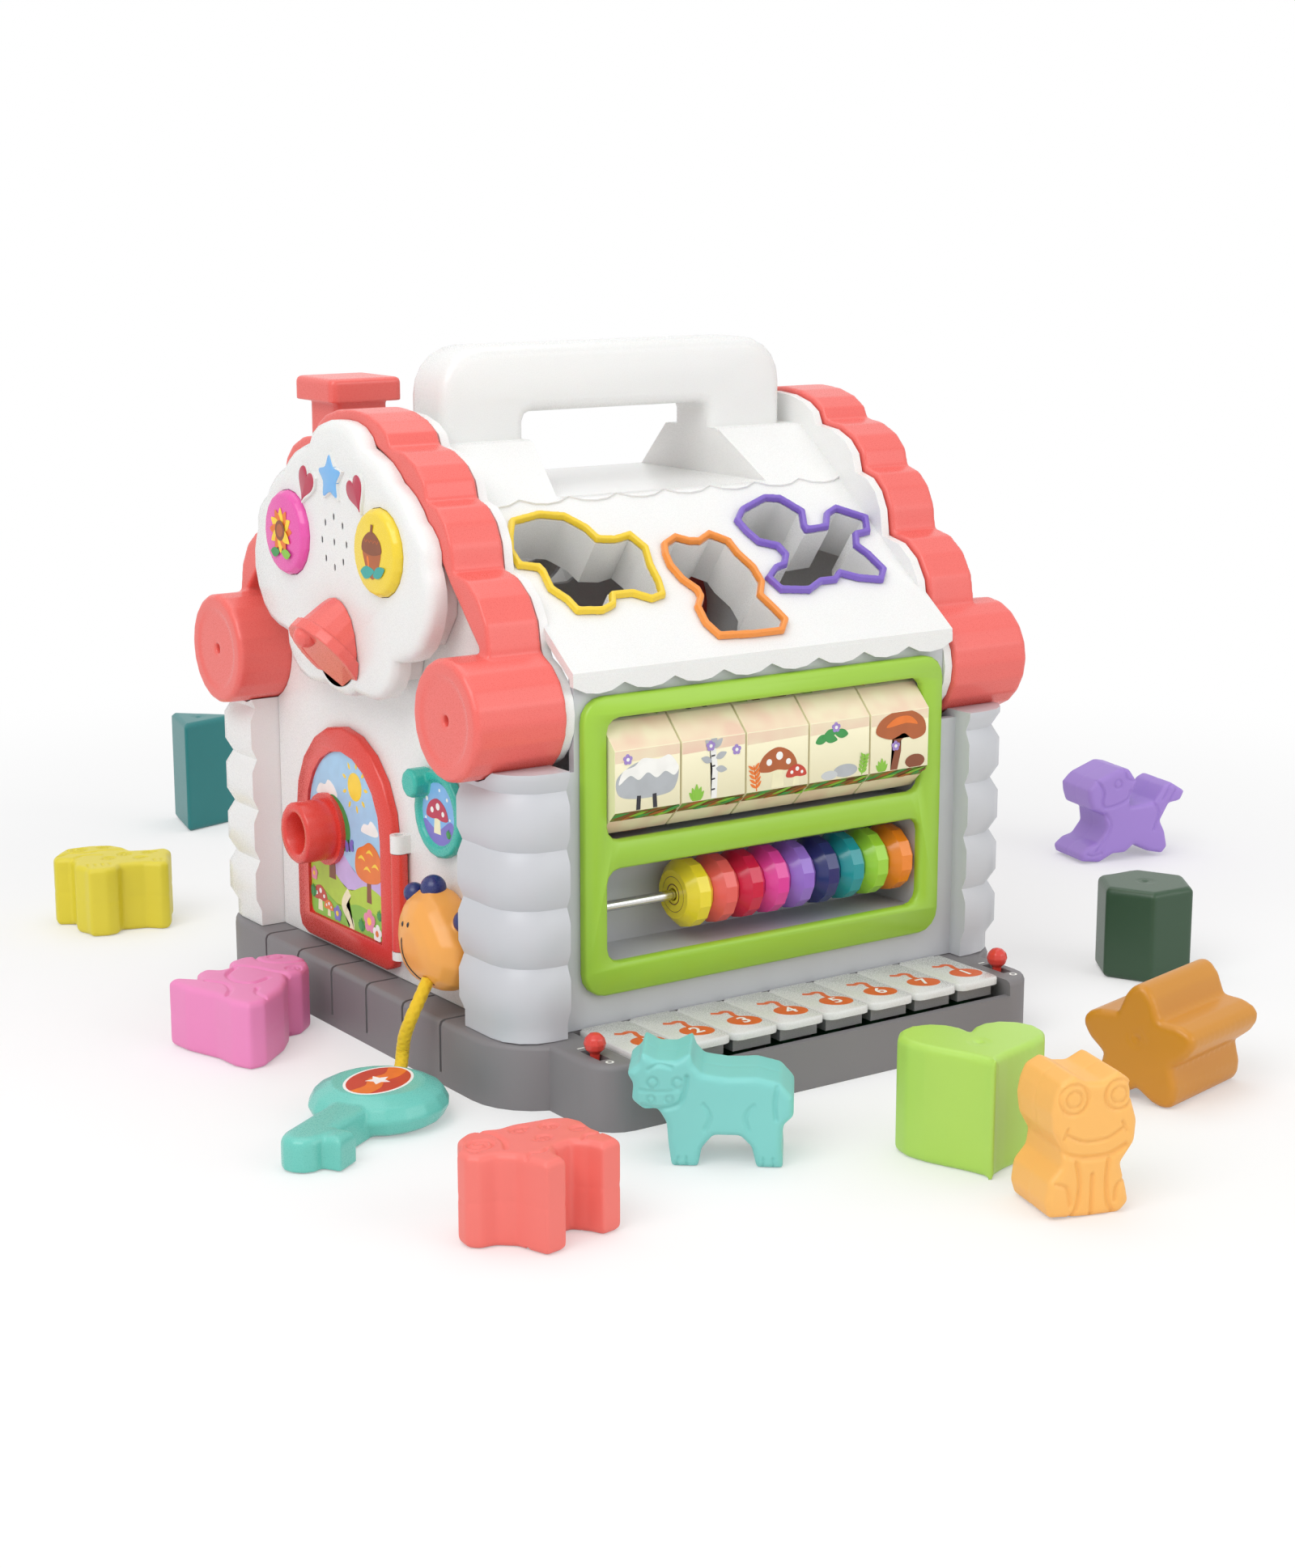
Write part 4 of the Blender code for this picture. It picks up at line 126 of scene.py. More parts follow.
def moulded(name, code, roughness=0.30, grain=0.35, relief=0.012, drift=0.05, soft=0.0,
            lower=None, level=0.0):
    """Injection-moulded plastic. A polished mould leaves a soft gloss that drifts a little over
    the surface, with a very fine pebble under it, and thick sections shade slightly."""
    made, tree = new_material(name)
    place = add(tree, "TexCoord").outputs["Object"]
    cloud = add(tree, "TexNoise", {"Scale": 1 / (28 * MM), "Detail": 2.0}, {"Vector": place})
    pebble = add(tree, "TexNoise", {"Scale": 1 / (grain * MM), "Detail": 3.0},
                 {"Vector": place})
    base = linear(code)
    deep = tuple(c * (1 - drift) for c in base[:3]) + (1,)
    tint = add(tree, "Mix", {"data_type": "RGBA", 6: deep, 7: base},
               {0: cloud.outputs["Fac"]})
    # Painted shade where a lower colour is given: below the level, the colour turns to it
    if lower:
        parts = add(tree, "SeparateXYZ", None, {0: place})
        above = add(tree, "Math", {"operation": "GREATER_THAN", 1: level * MM},
                    {0: parts.outputs["Z"]})
        tint = add(tree, "Mix", {"data_type": "RGBA", 6: linear(lower)},
                   {0: above.outputs[0], 7: tint.outputs[2]})
    gloss = add(tree, "MapRange", {1: 0.3, 2: 0.7, 3: roughness - 0.04,
                                   4: roughness + 0.06}, {0: pebble.outputs["Fac"]})
    bump = add(tree, "Bump", {"Strength": 0.25, "Distance": relief * MM},
               {"Height": pebble.outputs["Fac"]})
    shader = add(tree, "BsdfPrincipled", {"IOR": 1.53, "Subsurface Weight": soft,
                                          "Subsurface Scale": 2 * MM},
                 {"Base Color": tint.outputs[2], "Roughness": gloss.outputs[0],
                  "Normal": bump.outputs[0]})
    add(tree, "OutputMaterial", links={"Surface": shader.outputs[0]})
    return made


def printed(name, code, second=None, scale=6.0):
    """Screen print or film label: an even satin ink with the faint mottle of its dots, and a
    second tone that it drifts to where the picture has one."""
    made, tree = new_material(name)
    place = add(tree, "TexCoord").outputs["Object"]
    wash = add(tree, "TexNoise", {"Scale": 1 / (scale * MM), "Detail": 1.0},
               {"Vector": place})
    dots = add(tree, "TexVoronoi", {"Scale": 1 / (0.35 * MM)}, {"Vector": place})
    base = linear(code)
    other = linear(second) if second else tuple(c * 0.93 for c in base[:3]) + (1,)
    spread = add(tree, "MapRange", {1: 0.35, 2: 0.65, 3: 0.0, 4: 1.0},
                 {0: wash.outputs["Fac"]})
    tint = add(tree, "Mix", {"data_type": "RGBA", 6: base, 7: other},
               {0: spread.outputs[0]})
    gloss = add(tree, "MapRange", {1: 0.0, 2: 0.6, 3: 0.34, 4: 0.42},
                {0: dots.outputs["Distance"]})
    shader = add(tree, "BsdfPrincipled", {"IOR": 1.5},
                 {"Base Color": tint.outputs[2], "Roughness": gloss.outputs[0]})
    add(tree, "OutputMaterial", links={"Surface": shader.outputs[0]})
    return made


def drawn_steel(name):
    """Bright drawn steel rod: fine lines run along it and stretch the reflections."""
    made, tree = new_material(name)
    place = add(tree, "TexCoord").outputs["Object"]
    along = add(tree, "Mapping", {"Scale": (40, 4000, 4000)}, {"Vector": place})
    lines = add(tree, "TexNoise", {"Scale": 1.0, "Detail": 2.0},
                {"Vector": along.outputs[0]})
    gloss = add(tree, "MapRange", {1: 0.3, 2: 0.7, 3: 0.12, 4: 0.3},
                {0: lines.outputs["Fac"]})
    shader = add(tree, "BsdfPrincipled", {"Base Color": linear("d6d6d4"), "Metallic": 1.0},
                 {"Roughness": gloss.outputs[0]})
    add(tree, "OutputMaterial", links={"Surface": shader.outputs[0]})
    return made


def polyester_cord(name, code):
    """Braided polyester: matt filaments with a faint sheen, the strands catching light one by one."""
    made, tree = new_material(name)
    place = add(tree, "TexCoord").outputs["Object"]
    fibre = add(tree, "TexNoise", {"Scale": 1 / (0.25 * MM), "Detail": 4.0},
                {"Vector": place})
    base = linear(code)
    dark = tuple(c * 0.80 for c in base[:3]) + (1,)
    tint = add(tree, "Mix", {"data_type": "RGBA", 6: dark, 7: base},
               {0: fibre.outputs["Fac"]})
    bump = add(tree, "Bump", {"Strength": 0.6, "Distance": 0.12 * MM},
               {"Height": fibre.outputs["Fac"]})
    shader = add(tree, "BsdfPrincipled", {"Roughness": 0.75, "Sheen Weight": 0.35,
                                          "Sheen Roughness": 0.4},
                 {"Base Color": tint.outputs[2], "Normal": bump.outputs[0]})
    add(tree, "OutputMaterial", links={"Surface": shader.outputs[0]})
    return made


def into_scene(name, data):
    piece = bpy.data.objects.new(name, data)
    bpy.context.scene.collection.objects.link(piece)
    return piece


def make(name, mesh, materials, body=None, smooth=True, angle=35):
    """Turn a working mesh into a piece of the scene that moves with a body."""
    data = bpy.data.meshes.new(name)
    bmesh.ops.recalc_face_normals(mesh, faces=mesh.faces[:])
    mesh.to_mesh(data)
    mesh.free()
    if smooth:
        data.shade_smooth()
        data.set_sharp_from_angle(angle=math.radians(angle))
    for item in materials:
        data.materials.append(item)
    piece = into_scene(name, data)
    if body:
        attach(piece, body)
    return piece


def side_of(origin, right, up):
    """Frame of a face of the object: X runs right, Y runs up and Z runs out of it."""
    right, up = Vector(right), Vector(up)
    out = right.cross(up)
    return Matrix.Translation(origin) @ Matrix((right, up, out)).transposed().to_4x4()


def door_side(out, height=0):
    """Frame of the door side, so many millimetres out of its wall and up from the floor."""
    return side_of((WALL_X - out * MM, 0, height * MM), (0, -1, 0), (0, 0, 1))


def oval(x, y, a, b=None, count=28, turn=0.0):
    b = a if b is None else b
    c, s = math.cos(math.radians(turn)), math.sin(math.radians(turn))
    points = []
    for i in range(count):
        t = math.tau * i / count
        u, v = a * math.cos(t), b * math.sin(t)
        points.append((x + u * c - v * s, y + u * s + v * c))
    return points


def smooth_loop(points, steps=6, closed=True):
    """Round an outline or an open line off through its own points, in two or three dimensions."""
    count = len(points)
    result = []
    for i in range(count if closed else count - 1):
        near = [(i + k) % count if closed else min(max(i + k, 0), count - 1) for k in (-1, 0, 1, 2)]
        corners = list(zip(*(points[k] for k in near)))
        for j in range(steps):
            t = j / steps
            result.append(tuple((2 * q + (r - p) * t + (2 * p - 5 * q + 4 * r - s) * t * t
                                 + (3 * q - p - 3 * r + s) * t ** 3) / 2 for p, q, r, s in corners))
    if not closed:
        result.append(tuple(points[-1]))
    return result


def leaf(x, y, length, width, turn):
    c, s = math.cos(math.radians(turn)), math.sin(math.radians(turn))
    half = [(0, 0), (0.25, 0.42), (0.55, 0.5), (0.85, 0.25), (1, 0)]
    shape = half + [(u, -v) for u, v in reversed(half[1:-1])]
    return [(x + u * length * c - v * width * s, y + u * length * s + v * width * c)
            for u, v in smooth_loop(shape, 3)]


def stroke(points, width):
    """Outline of a brush line along points."""
    left, right = [], []
    for i, (x, y) in enumerate(points):
        x0, y0 = points[max(i - 1, 0)]
        x1, y1 = points[min(i + 1, len(points) - 1)]
        length = math.hypot(x1 - x0, y1 - y0) or 1
        nx, ny = -(y1 - y0) / length, (x1 - x0) / length
        left.append((x + nx * width / 2, y + ny * width / 2))
        right.append((x - nx * width / 2, y - ny * width / 2))
    return left + right[::-1]


def star(x, y, radius, waist):
    points = []
    for i in range(10):
        t = math.pi / 2 + math.pi * i / 5
        r = radius if i % 2 == 0 else radius * waist
        points.append((x + r * math.cos(t), y + r * math.sin(t)))
    return points


def heart(width, height):
    raw = []
    for i in range(40):
        t = -math.tau * i / 40
        raw.append((16 * math.sin(t) ** 3, 13 * math.cos(t) - 5 * math.cos(2 * t)
                    - 2 * math.cos(3 * t) - math.cos(4 * t)))
    low = min(y for x, y in raw)
    high = max(y for x, y in raw)
    side = max(x for x, y in raw)
    return [(x / side * width / 2, ((y - low) / (high - low) - 0.5) * height) for x, y in raw]


def moved(points, x=0.0, y=0.0, turn=0.0, scale=1.0):
    c, s = math.cos(math.radians(turn)), math.sin(math.radians(turn))
    return [(x + (u * c - v * s) * scale, y + (u * s + v * c) * scale) for u, v in points]


def film(name, place, layers, body):
    """Printed shapes on a flat face, as thin closed forms. A layer is an outline, its level over
    the face and its ink, in millimetres."""
    mesh = bmesh.new()
    inks = []
    for outline, level, ink in layers:
        if ink not in inks:
            inks.append(ink)
        top, low = ([mesh.verts.new(place @ Vector((x * MM, y * MM, height * MM)))
                     for x, y in outline] for height in (level, level - FILM_DEPTH))
        face = mesh.faces.new(top)
        face.material_index = inks.index(ink)
        for i in range(len(top)):
            j = (i + 1) % len(top)
            side = mesh.faces.new((low[i], low[j], top[j], top[i]))
            side.material_index = inks.index(ink)
        back = mesh.faces.new(low[::-1])
        back.material_index = inks.index(ink)
        bmesh.ops.triangulate(mesh, faces=[face, back])
    return make(name, mesh, inks, body, smooth=False)


def tube(mesh, points, radius, count=10, taper=True, wave=None):
    """Round line through 3-D points, closed at both ends."""
    rings = []
    frame_up = Vector((0, 0, 1))
    total = len(points)
    for i, point in enumerate(points):
        ahead = Vector(points[min(i + 1, total - 1)]) - Vector(points[max(i - 1, 0)])
        ahead.normalize()
        side = ahead.cross(frame_up)
        if side.length < 0.1:
            side = ahead.cross(Vector((1, 0, 0)))
        side.normalize()
        up = side.cross(ahead)
        size = radius
        if taper and i in (0, total - 1):
            size = radius * 0.45
        ring = []
        for k in range(count):
            t = math.tau * k / count
            r = size * (wave(i, t) if wave else 1)
            ring.append(mesh.verts.new(Vector(point) + side * math.cos(t) * r
                                       + up * math.sin(t) * r))
        rings.append(ring)
    for lower, upper in zip(rings, rings[1:]):
        for k in range(count):
            j = (k + 1) % count
            mesh.faces.new((lower[k], lower[j], upper[j], upper[k]))
    mesh.faces.new(rings[0][::-1])
    mesh.faces.new(rings[-1])


def ball(mesh, place, radii, count=20, rows=12):
    grid = []
    for i in range(1, rows):
        a = math.pi * i / rows
        grid.append([mesh.verts.new(place @ Vector((
            radii[0] * math.sin(a) * math.cos(math.tau * k / count),
            radii[1] * math.sin(a) * math.sin(math.tau * k / count),
            -radii[2] * math.cos(a)))) for k in range(count)])
    low = mesh.verts.new(place @ Vector((0, 0, -radii[2])))
    high = mesh.verts.new(place @ Vector((0, 0, radii[2])))
    for lower, upper in zip(grid, grid[1:]):
        for k in range(count):
            j = (k + 1) % count
            mesh.faces.new((lower[k], lower[j], upper[j], upper[k]))
    for k in range(count):
        j = (k + 1) % count
        mesh.faces.new((low, grid[0][j], grid[0][k]))
        mesh.faces.new((high, grid[-1][k], grid[-1][j]))


def pad(mesh, place, outline, bottom, top, edge, steps=4):
    """Raised form with a rounded rim, in millimetres."""
    centre_x = sum(x for x, y in outline) / len(outline)
    centre_y = sum(y for x, y in outline) / len(outline)
    reach = max(math.hypot(x - centre_x, y - centre_y) for x, y in outline)
    profile = [(1, bottom)]
    for i in range(steps + 1):
        t = math.pi / 2 * i / steps
        profile.append((1 - edge * (1 - math.cos(t)) / reach,
                        top - edge * (1 - math.sin(t)) * min(1, (top - bottom) / edge)))
    rings = [[mesh.verts.new(place @ Vector((
        (centre_x + (x - centre_x) * shrink) * MM, (centre_y + (y - centre_y) * shrink) * MM,
        level * MM))) for x, y in outline] for shrink, level in profile]
    for lower, upper in zip(rings, rings[1:]):
        for k in range(len(lower)):
            j = (k + 1) % len(lower)
            mesh.faces.new((lower[k], lower[j], upper[j], upper[k]))
    mesh.faces.new(rings[0][::-1])
    mesh.faces.new(rings[-1])


# Finishes, each with the colour that its piece shows in plain daylight, but the piano keys' finish also
# paints shade on their lower part

WHITE = moulded("white ABS, polished mould", "eeeeec", roughness=0.27, soft=0.05)
POST_GREY = moulded("pale grey ABS, satin mould", "cbcdd2", roughness=0.38)
TRAY_GREY = moulded("dark grey polypropylene, fine spark texture", "807d7f", roughness=0.52,
                    grain=0.5, relief=0.03)
CORAL = moulded("coral ABS, polished mould", "ee6a62", roughness=0.28)
DOOR_RED = moulded("red ABS, polished mould", "e2453b", roughness=0.27)
GREEN = moulded("leaf green ABS, satin mould", "a0ce3c", roughness=0.33)
PINK = moulded("pink ABS, polished mould", "ea58ae", roughness=0.24)
YELLOW = moulded("yellow ABS, polished mould", "f4d535", roughness=0.24)
TEAL = moulded("teal ABS, polished mould", "35b8a8", roughness=0.27)
ORANGE = moulded("orange ABS, satin mould", "f5aa50", roughness=0.32)
NAVY = moulded("navy ABS, polished mould", "27306e", roughness=0.28)
TOY_KEY_TEAL = moulded("pale teal ABS, polished mould", "6cc8bb", roughness=0.28)
SLIDE_RED = moulded("red ABS, small polished ball", "df4238", roughness=0.22)
TILE_CREAM = moulded("cream ABS, satin mould", "f9f2cf", roughness=0.34, drift=0.03)
# Painted shade: the keys turn grey below 25.2 mm over the floor, for the darker shade on their lower
# sides
KEY_WHITE_PAINTED_SHADE_BELOW = moulded("white ABS, piano key plates", "dededc", roughness=0.26, lower="a3a2a4",
                    level=25.2)
CONTACT = moulded("green glass-fibre board under its varnish", "2f6b45", roughness=0.4)
STEEL = drawn_steel("steel, bright drawn rod")
CORD_YELLOW = polyester_cord("yellow polyester, braided", "f8cf24")
RIM_FINISHES = {
    "sheep_rim": moulded("yellow ABS rim", "f0cd2f"),
    "frog_rim": moulded("orange ABS rim", "f0913a"),
    "dog_rim": moulded("purple ABS rim", "7c5fc0"),
}
RING_FINISHES = [moulded("ABS ring, polished mould " + str(i + 1), code, roughness=0.20, drift=0.03)
                 for i, code in enumerate(("f3de2e", "ee645d", "d61c46", "e845a2", "9a72d4",
                                           "2a3170", "1b98a0", "a1d83a", "f4891d"))]
BLOCK_COLOURS = {
    "triangle_block": "177b7c", "hexagon_block": "2a4a30", "flower_block": "cf8a1e",
    "heart_block": "b0da5c", "sheep_block": "e2d237", "monkey_block": "ee8ac0",
    "ram_block": "f0766c", "cow_block": "80d0ca", "dog_block": "a686d6", "frog_block": "fabb62",
}

SOLID_FINISHES = {
    "base_tray": TRAY_GREY, "battery_cover": TRAY_GREY, "contact_board": CONTACT,
    "front_wall": POST_GREY, "rear_wall": WHITE, "gable_wall_door": WHITE,
    "gable_wall_far": WHITE, "roof_shell": WHITE, "roof_arch_door": CORAL,
    "roof_arch_far": CORAL, "chimney": CORAL, "gable_face": WHITE, "pink_button": PINK,
    "yellow_button": YELLOW, "bell_lever": CORAL, "door": DOOR_RED, "window_dial": TEAL,
    "animal_head": ORANGE, "toy_key": TOY_KEY_TEAL, "activity_frame": GREEN,
    "tile_axle": STEEL, "abacus_rod": STEEL, "volume_slide": SLIDE_RED,
    "mode_slide": SLIDE_RED, **RIM_FINISHES,
}
for i in range(5):
    SOLID_FINISHES["picture_tile_" + str(i + 1)] = TILE_CREAM
for i in range(9):
    SOLID_FINISHES["abacus_ring_" + str(i + 1)] = RING_FINISHES[i]
for i in range(8):
    SOLID_FINISHES["piano_key_" + str(i + 1)] = KEY_WHITE_PAINTED_SHADE_BELOW


def dress(name, finish):
    """Give a hidden solid of the frame its finish."""
    piece = nodes[name]
    piece.data.materials.clear()
    piece.data.materials.append(finish)


def body_of(name):
    return nodes[name]["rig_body"]


def show(name, data, finish, tail):
    """Put a finer form of a solid in its place, with its body and its finish."""
    data.materials.clear()
    data.materials.append(finish)
    piece = into_scene(name + tail, data)
    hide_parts(name)
    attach(piece, body_of(name))


def soft_form(name, voxel, rounds):
    """The solid's form with rounded edges, as fine quads."""
    work = nodes[name].copy()
    work.data = nodes[name].data.copy()
    work.parent = None
    work.matrix_world = Matrix()
    bpy.context.scene.collection.objects.link(work)
    skin = work.modifiers.new("skin", "REMESH")
    skin.mode = "VOXEL"
    skin.voxel_size = voxel * MM
    ease = work.modifiers.new("ease", "SMOOTH")
    ease.factor = 0.5
    ease.iterations = rounds
    bpy.context.view_layer.update()
    data = bpy.data.meshes.new_from_object(
        work.evaluated_get(bpy.context.evaluated_depsgraph_get()))
    bpy.data.objects.remove(work)
    data.shade_smooth()
    return data


def crisp_form(name, angle):
    """The solid with its curved faces shaded round and its sharp edges kept."""
    mesh = bmesh.new()
    mesh.from_mesh(nodes[name].data)
    bmesh.ops.remove_doubles(mesh, verts=mesh.verts[:], dist=0.004 * MM)
    mesh.verts.index_update()
    data = bpy.data.meshes.new(name + "_crisp")
    data.from_pydata([v.co[:] for v in mesh.verts], [],
                     [[v.index for v in face.verts] for face in mesh.faces])
    mesh.free()
    data.shade_smooth()
    data.set_sharp_from_angle(angle=math.radians(angle))
    return data


# The frame's solids in their finer forms

# Edge of the fine quads in millimetres and rounds of smoothing, for the pieces with round edges
SOFTENED = {
    "animal_head": (0.5, 45), "bell_lever": (0.45, 6), "toy_key": (0.6, 16), "chimney": (0.6, 4),
    "roof_arch_door": (0.8, 10), "roof_arch_far": (0.8, 10), "sheep_rim": (0.4, 12),
    "frog_rim": (0.4, 12), "dog_rim": (0.4, 12), "pink_button": (0.5, 6),
    "yellow_button": (0.5, 6), "window_dial": (0.45, 5), "volume_slide": (0.3, 5),
    "mode_slide": (0.3, 5),
}
HIDDEN = ("contact_board", "battery_cover")
SHARP_ANGLE = 46
RING_SHARP_ANGLE = 24

for name, finish in SOLID_FINISHES.items():
    if name in SOFTENED:
        show(name, soft_form(name, *SOFTENED[name]), finish, "_soft")
    elif name in HIDDEN:
        dress(name, finish)
    else:
        angle = RING_SHARP_ANGLE if name.startswith("abacus_ring") else SHARP_ANGLE
        show(name, crisp_form(name, angle), finish, "_crisp")


# Loose shape blocks: blow-moulded, so their edges are round and their faces swell

# Middle on the floor in metres, how it lies, its turn in degrees, and its width and height in mm
BLOCK_PLACES = {
    "triangle_block": (-0.0135, 0.3935, "lie", 16, 40, 40),
    "hexagon_block": (0.2187, -0.1228, "lie", -4, 40, 40),
    "flower_block": (0.136, -0.241, "stand", -76, 53, 53),
    "heart_block": (-0.0088, -0.2654, "lie", -27, 57, 50),
    "sheep_block": (-0.1393, 0.2253, "lie", -15, 57.4, 51.4),
    "monkey_block": (-0.1650, 0.0143, "lie", -76.7, 57.7, 63.3),
    "ram_block": (-0.1846, -0.2317, "lie", 10, 54, 43),
    "cow_block": (-0.0786, -0.1933, "stand", -38, 62, 44),
    "dog_block": (0.370, 0.060, "stand", -12, 64.6, 51.1),
    "frog_block": (-0.0066, -0.3042, "stand", -15, 35.3, 53),
}


def hoop_line(x, y, r, squeeze):
    return [(x + r * math.cos(math.tau * i / 22), y + r * squeeze * math.sin(math.tau * i / 22))
            for i in range(23)]


def curl(x, y, r, start=0):
    """Spiral that winds inwards, nearly twice round."""
    line = []
    for i in range(41):
        t = math.radians(start + 16.2 * i)
        reach = r * (1 - 0.02 * i)
        line.append((x + reach * math.cos(t), y + reach * math.sin(t)))
    return line


def soft_line(*points):
    return smooth_loop(list(points), 6, closed=False)


# Lines moulded into the flat faces, in shares of the block's width and height, with the line's
# width and depth in millimetres
BLOCK_LINES = {
    "frog_block": [
        (hoop_line(0.27, 0.84, 0.155, squeeze=0.66), 1.3, 0.9),
        (hoop_line(0.27, 0.84, 0.085, squeeze=0.66), 1.0, 0.7),
        (hoop_line(0.77, 0.84, 0.155, squeeze=0.66), 1.3, 0.9),
        (hoop_line(0.77, 0.84, 0.085, squeeze=0.66), 1.0, 0.7),
        (soft_line((0.20, 0.60), (0.36, 0.545), (0.52, 0.535), (0.68, 0.55), (0.84, 0.61)), 1.2, 0.9),
        ([(0.17, 0.57), (0.21, 0.64)], 1.1, 0.8), ([(0.82, 0.65), (0.87, 0.58)], 1.1, 0.8),
        (soft_line((0.16, 0.47), (0.34, 0.43), (0.52, 0.42), (0.70, 0.43), (0.86, 0.48)), 2.2, 1.2),
        (soft_line((0.32, 0.40), (0.36, 0.25), (0.34, 0.10), (0.28, 0.02)), 1.8, 1.1),
        (soft_line((0.50, 0.30), (0.50, 0.15), (0.50, 0.02)), 1.6, 1.1),
        (soft_line((0.68, 0.40), (0.66, 0.25), (0.68, 0.10), (0.74, 0.02)), 1.8, 1.1),
        (soft_line((0.10, 0.26), (0.22, 0.22), (0.26, 0.10)), 1.5, 0.9),
        (soft_line((0.88, 0.24), (0.78, 0.20), (0.76, 0.10)), 1.5, 0.9),
    ],
    "cow_block": [
        (hoop_line(0.155, 0.745, 0.032, squeeze=1.35), 1.0, 0.7),
        (hoop_line(0.305, 0.745, 0.032, squeeze=1.35), 1.0, 0.7),
        (hoop_line(0.145, 0.60, 0.022, squeeze=1.35), 0.9, 0.6),
        (hoop_line(0.255, 0.60, 0.022, squeeze=1.35), 0.9, 0.6),
        (soft_line((0.10, 0.54), (0.20, 0.515), (0.31, 0.56), (0.345, 0.67), (0.36, 0.80)), 2.0, 1.2),
        (soft_line((0.08, 0.68), (0.20, 0.665), (0.33, 0.69)), 1.2, 0.6),
        (soft_line((0.13, 0.86), (0.19, 0.90), (0.27, 0.88)), 1.4, 0.8),
        (soft_line((0.90, 0.72), (0.885, 0.58), (0.895, 0.44)), 1.6, 0.9),
        (soft_line((0.47, 0.34), (0.50, 0.46), (0.46, 0.56)), 1.6, 0.7),
        (soft_line((0.73, 0.34), (0.71, 0.46), (0.76, 0.56)), 1.6, 0.7),
        ([(0.30, 0.02), (0.31, 0.09)], 1.0, 0.7), ([(0.36, 0.02), (0.36, 0.09)], 1.0, 0.7),
        ([(0.82, 0.02), (0.82, 0.09)], 1.0, 0.7), ([(0.88, 0.02), (0.88, 0.09)], 1.0, 0.7),
    ],
    "dog_block": [
        (hoop_line(0.335, 0.83, 0.034, squeeze=1.3), 1.1, 0.7),
        (soft_line((0.14, 0.88), (0.20, 0.76), (0.19, 0.64), (0.22, 0.585)), 1.6, 1.0),
        (soft_line((0.22, 0.585), (0.32, 0.60), (0.44, 0.66), (0.46, 0.75)), 1.8, 1.0),
        (soft_line((0.40, 0.98), (0.42, 0.88), (0.50, 0.85)), 1.4, 0.8),
        (soft_line((0.23, 0.52), (0.28, 0.40), (0.24, 0.26), (0.14, 0.12)), 1.5, 0.8),
        (soft_line((0.70, 0.58), (0.74, 0.48), (0.70, 0.30)), 1.5, 0.8),
        ([(0.84, 0.60), (0.92, 0.74)], 1.2, 0.8), ([(0.78, 0.62), (0.85, 0.76)], 1.2, 0.8),
        (soft_line((0.06, 0.10), (0.12, 0.08), (0.20, 0.10)), 1.1, 0.7),
    ],
    "monkey_block": [
        (hoop_line(0.20, 0.86, 0.055, squeeze=0.9), 1.0, 0.7),
        (curl(0.52, 0.76, 0.06), 1.1, 0.8),
        (soft_line((0.06, 0.78), (0.18, 0.73), (0.32, 0.76), (0.42, 0.88), (0.40, 0.97)), 1.8, 1.1),
        (soft_line((0.14, 0.54), (0.30, 0.60), (0.46, 0.62), (0.60, 0.66)), 2.0, 1.1),
        (soft_line((0.20, 0.50), (0.30, 0.36), (0.48, 0.30), (0.60, 0.36), (0.58, 0.50)), 2.0, 1.2),
        (soft_line((0.30, 0.18), (0.46, 0.22), (0.60, 0.16), (0.70, 0.06)), 1.8, 1.0),
        (soft_line((0.72, 0.30), (0.82, 0.22), (0.94, 0.20)), 1.6, 0.9),
    ],
    "ram_block": [
        (curl(0.20, 0.70, 0.12, start=200), 1.4, 1.0),
        (soft_line((0.36, 0.96), (0.40, 0.80), (0.36, 0.62), (0.28, 0.48)), 2.0, 1.2),
        (hoop_line(0.10, 0.60, 0.025, squeeze=1.3), 0.9, 0.6),
        (curl(0.56, 0.72, 0.075), 1.2, 0.8), (curl(0.76, 0.62, 0.075, start=90), 1.2, 0.8),
        (curl(0.58, 0.46, 0.07, start=180), 1.2, 0.8), (curl(0.86, 0.42, 0.06), 1.2, 0.8),
        (soft_line((0.27, 0.22), (0.34, 0.27), (0.40, 0.22), (0.47, 0.26)), 1.3, 0.8),
        (soft_line((0.75, 0.22), (0.82, 0.27), (0.88, 0.22), (0.95, 0.26)), 1.3, 0.8),
    ],
    "sheep_block": [
        (curl(0.24, 0.84, 0.09, start=160), 1.4, 1.0), (curl(0.46, 0.86, 0.07), 1.3, 0.9),
        (soft_line((0.05, 0.64), (0.14, 0.72), (0.28, 0.70), (0.42, 0.74), (0.60, 0.72)), 1.8, 1.1),
        (soft_line((0.15, 0.50), (0.26, 0.60), (0.40, 0.56)), 1.6, 0.9),
        (curl(0.60, 0.52, 0.07, start=90), 1.2, 0.8), (curl(0.80, 0.52, 0.065), 1.2, 0.8),
        (curl(0.44, 0.42, 0.065, start=200), 1.2, 0.8), (curl(0.70, 0.34, 0.06), 1.2, 0.8),
        ([(0.24, 0.14), (0.24, 0.22)], 1.0, 0.8), ([(0.30, 0.14), (0.30, 0.22)], 1.0, 0.8),
        ([(0.36, 0.14), (0.36, 0.22)], 1.0, 0.8), ([(0.42, 0.14), (0.42, 0.22)], 1.0, 0.8),
        ([(0.80, 0.16), (0.80, 0.24)], 1.0, 0.8), ([(0.86, 0.16), (0.86, 0.24)], 1.0, 0.8),
    ],
}


CELL = 3
DIMPLE_REACH = 2.6
DIMPLE_RIM = 1.6


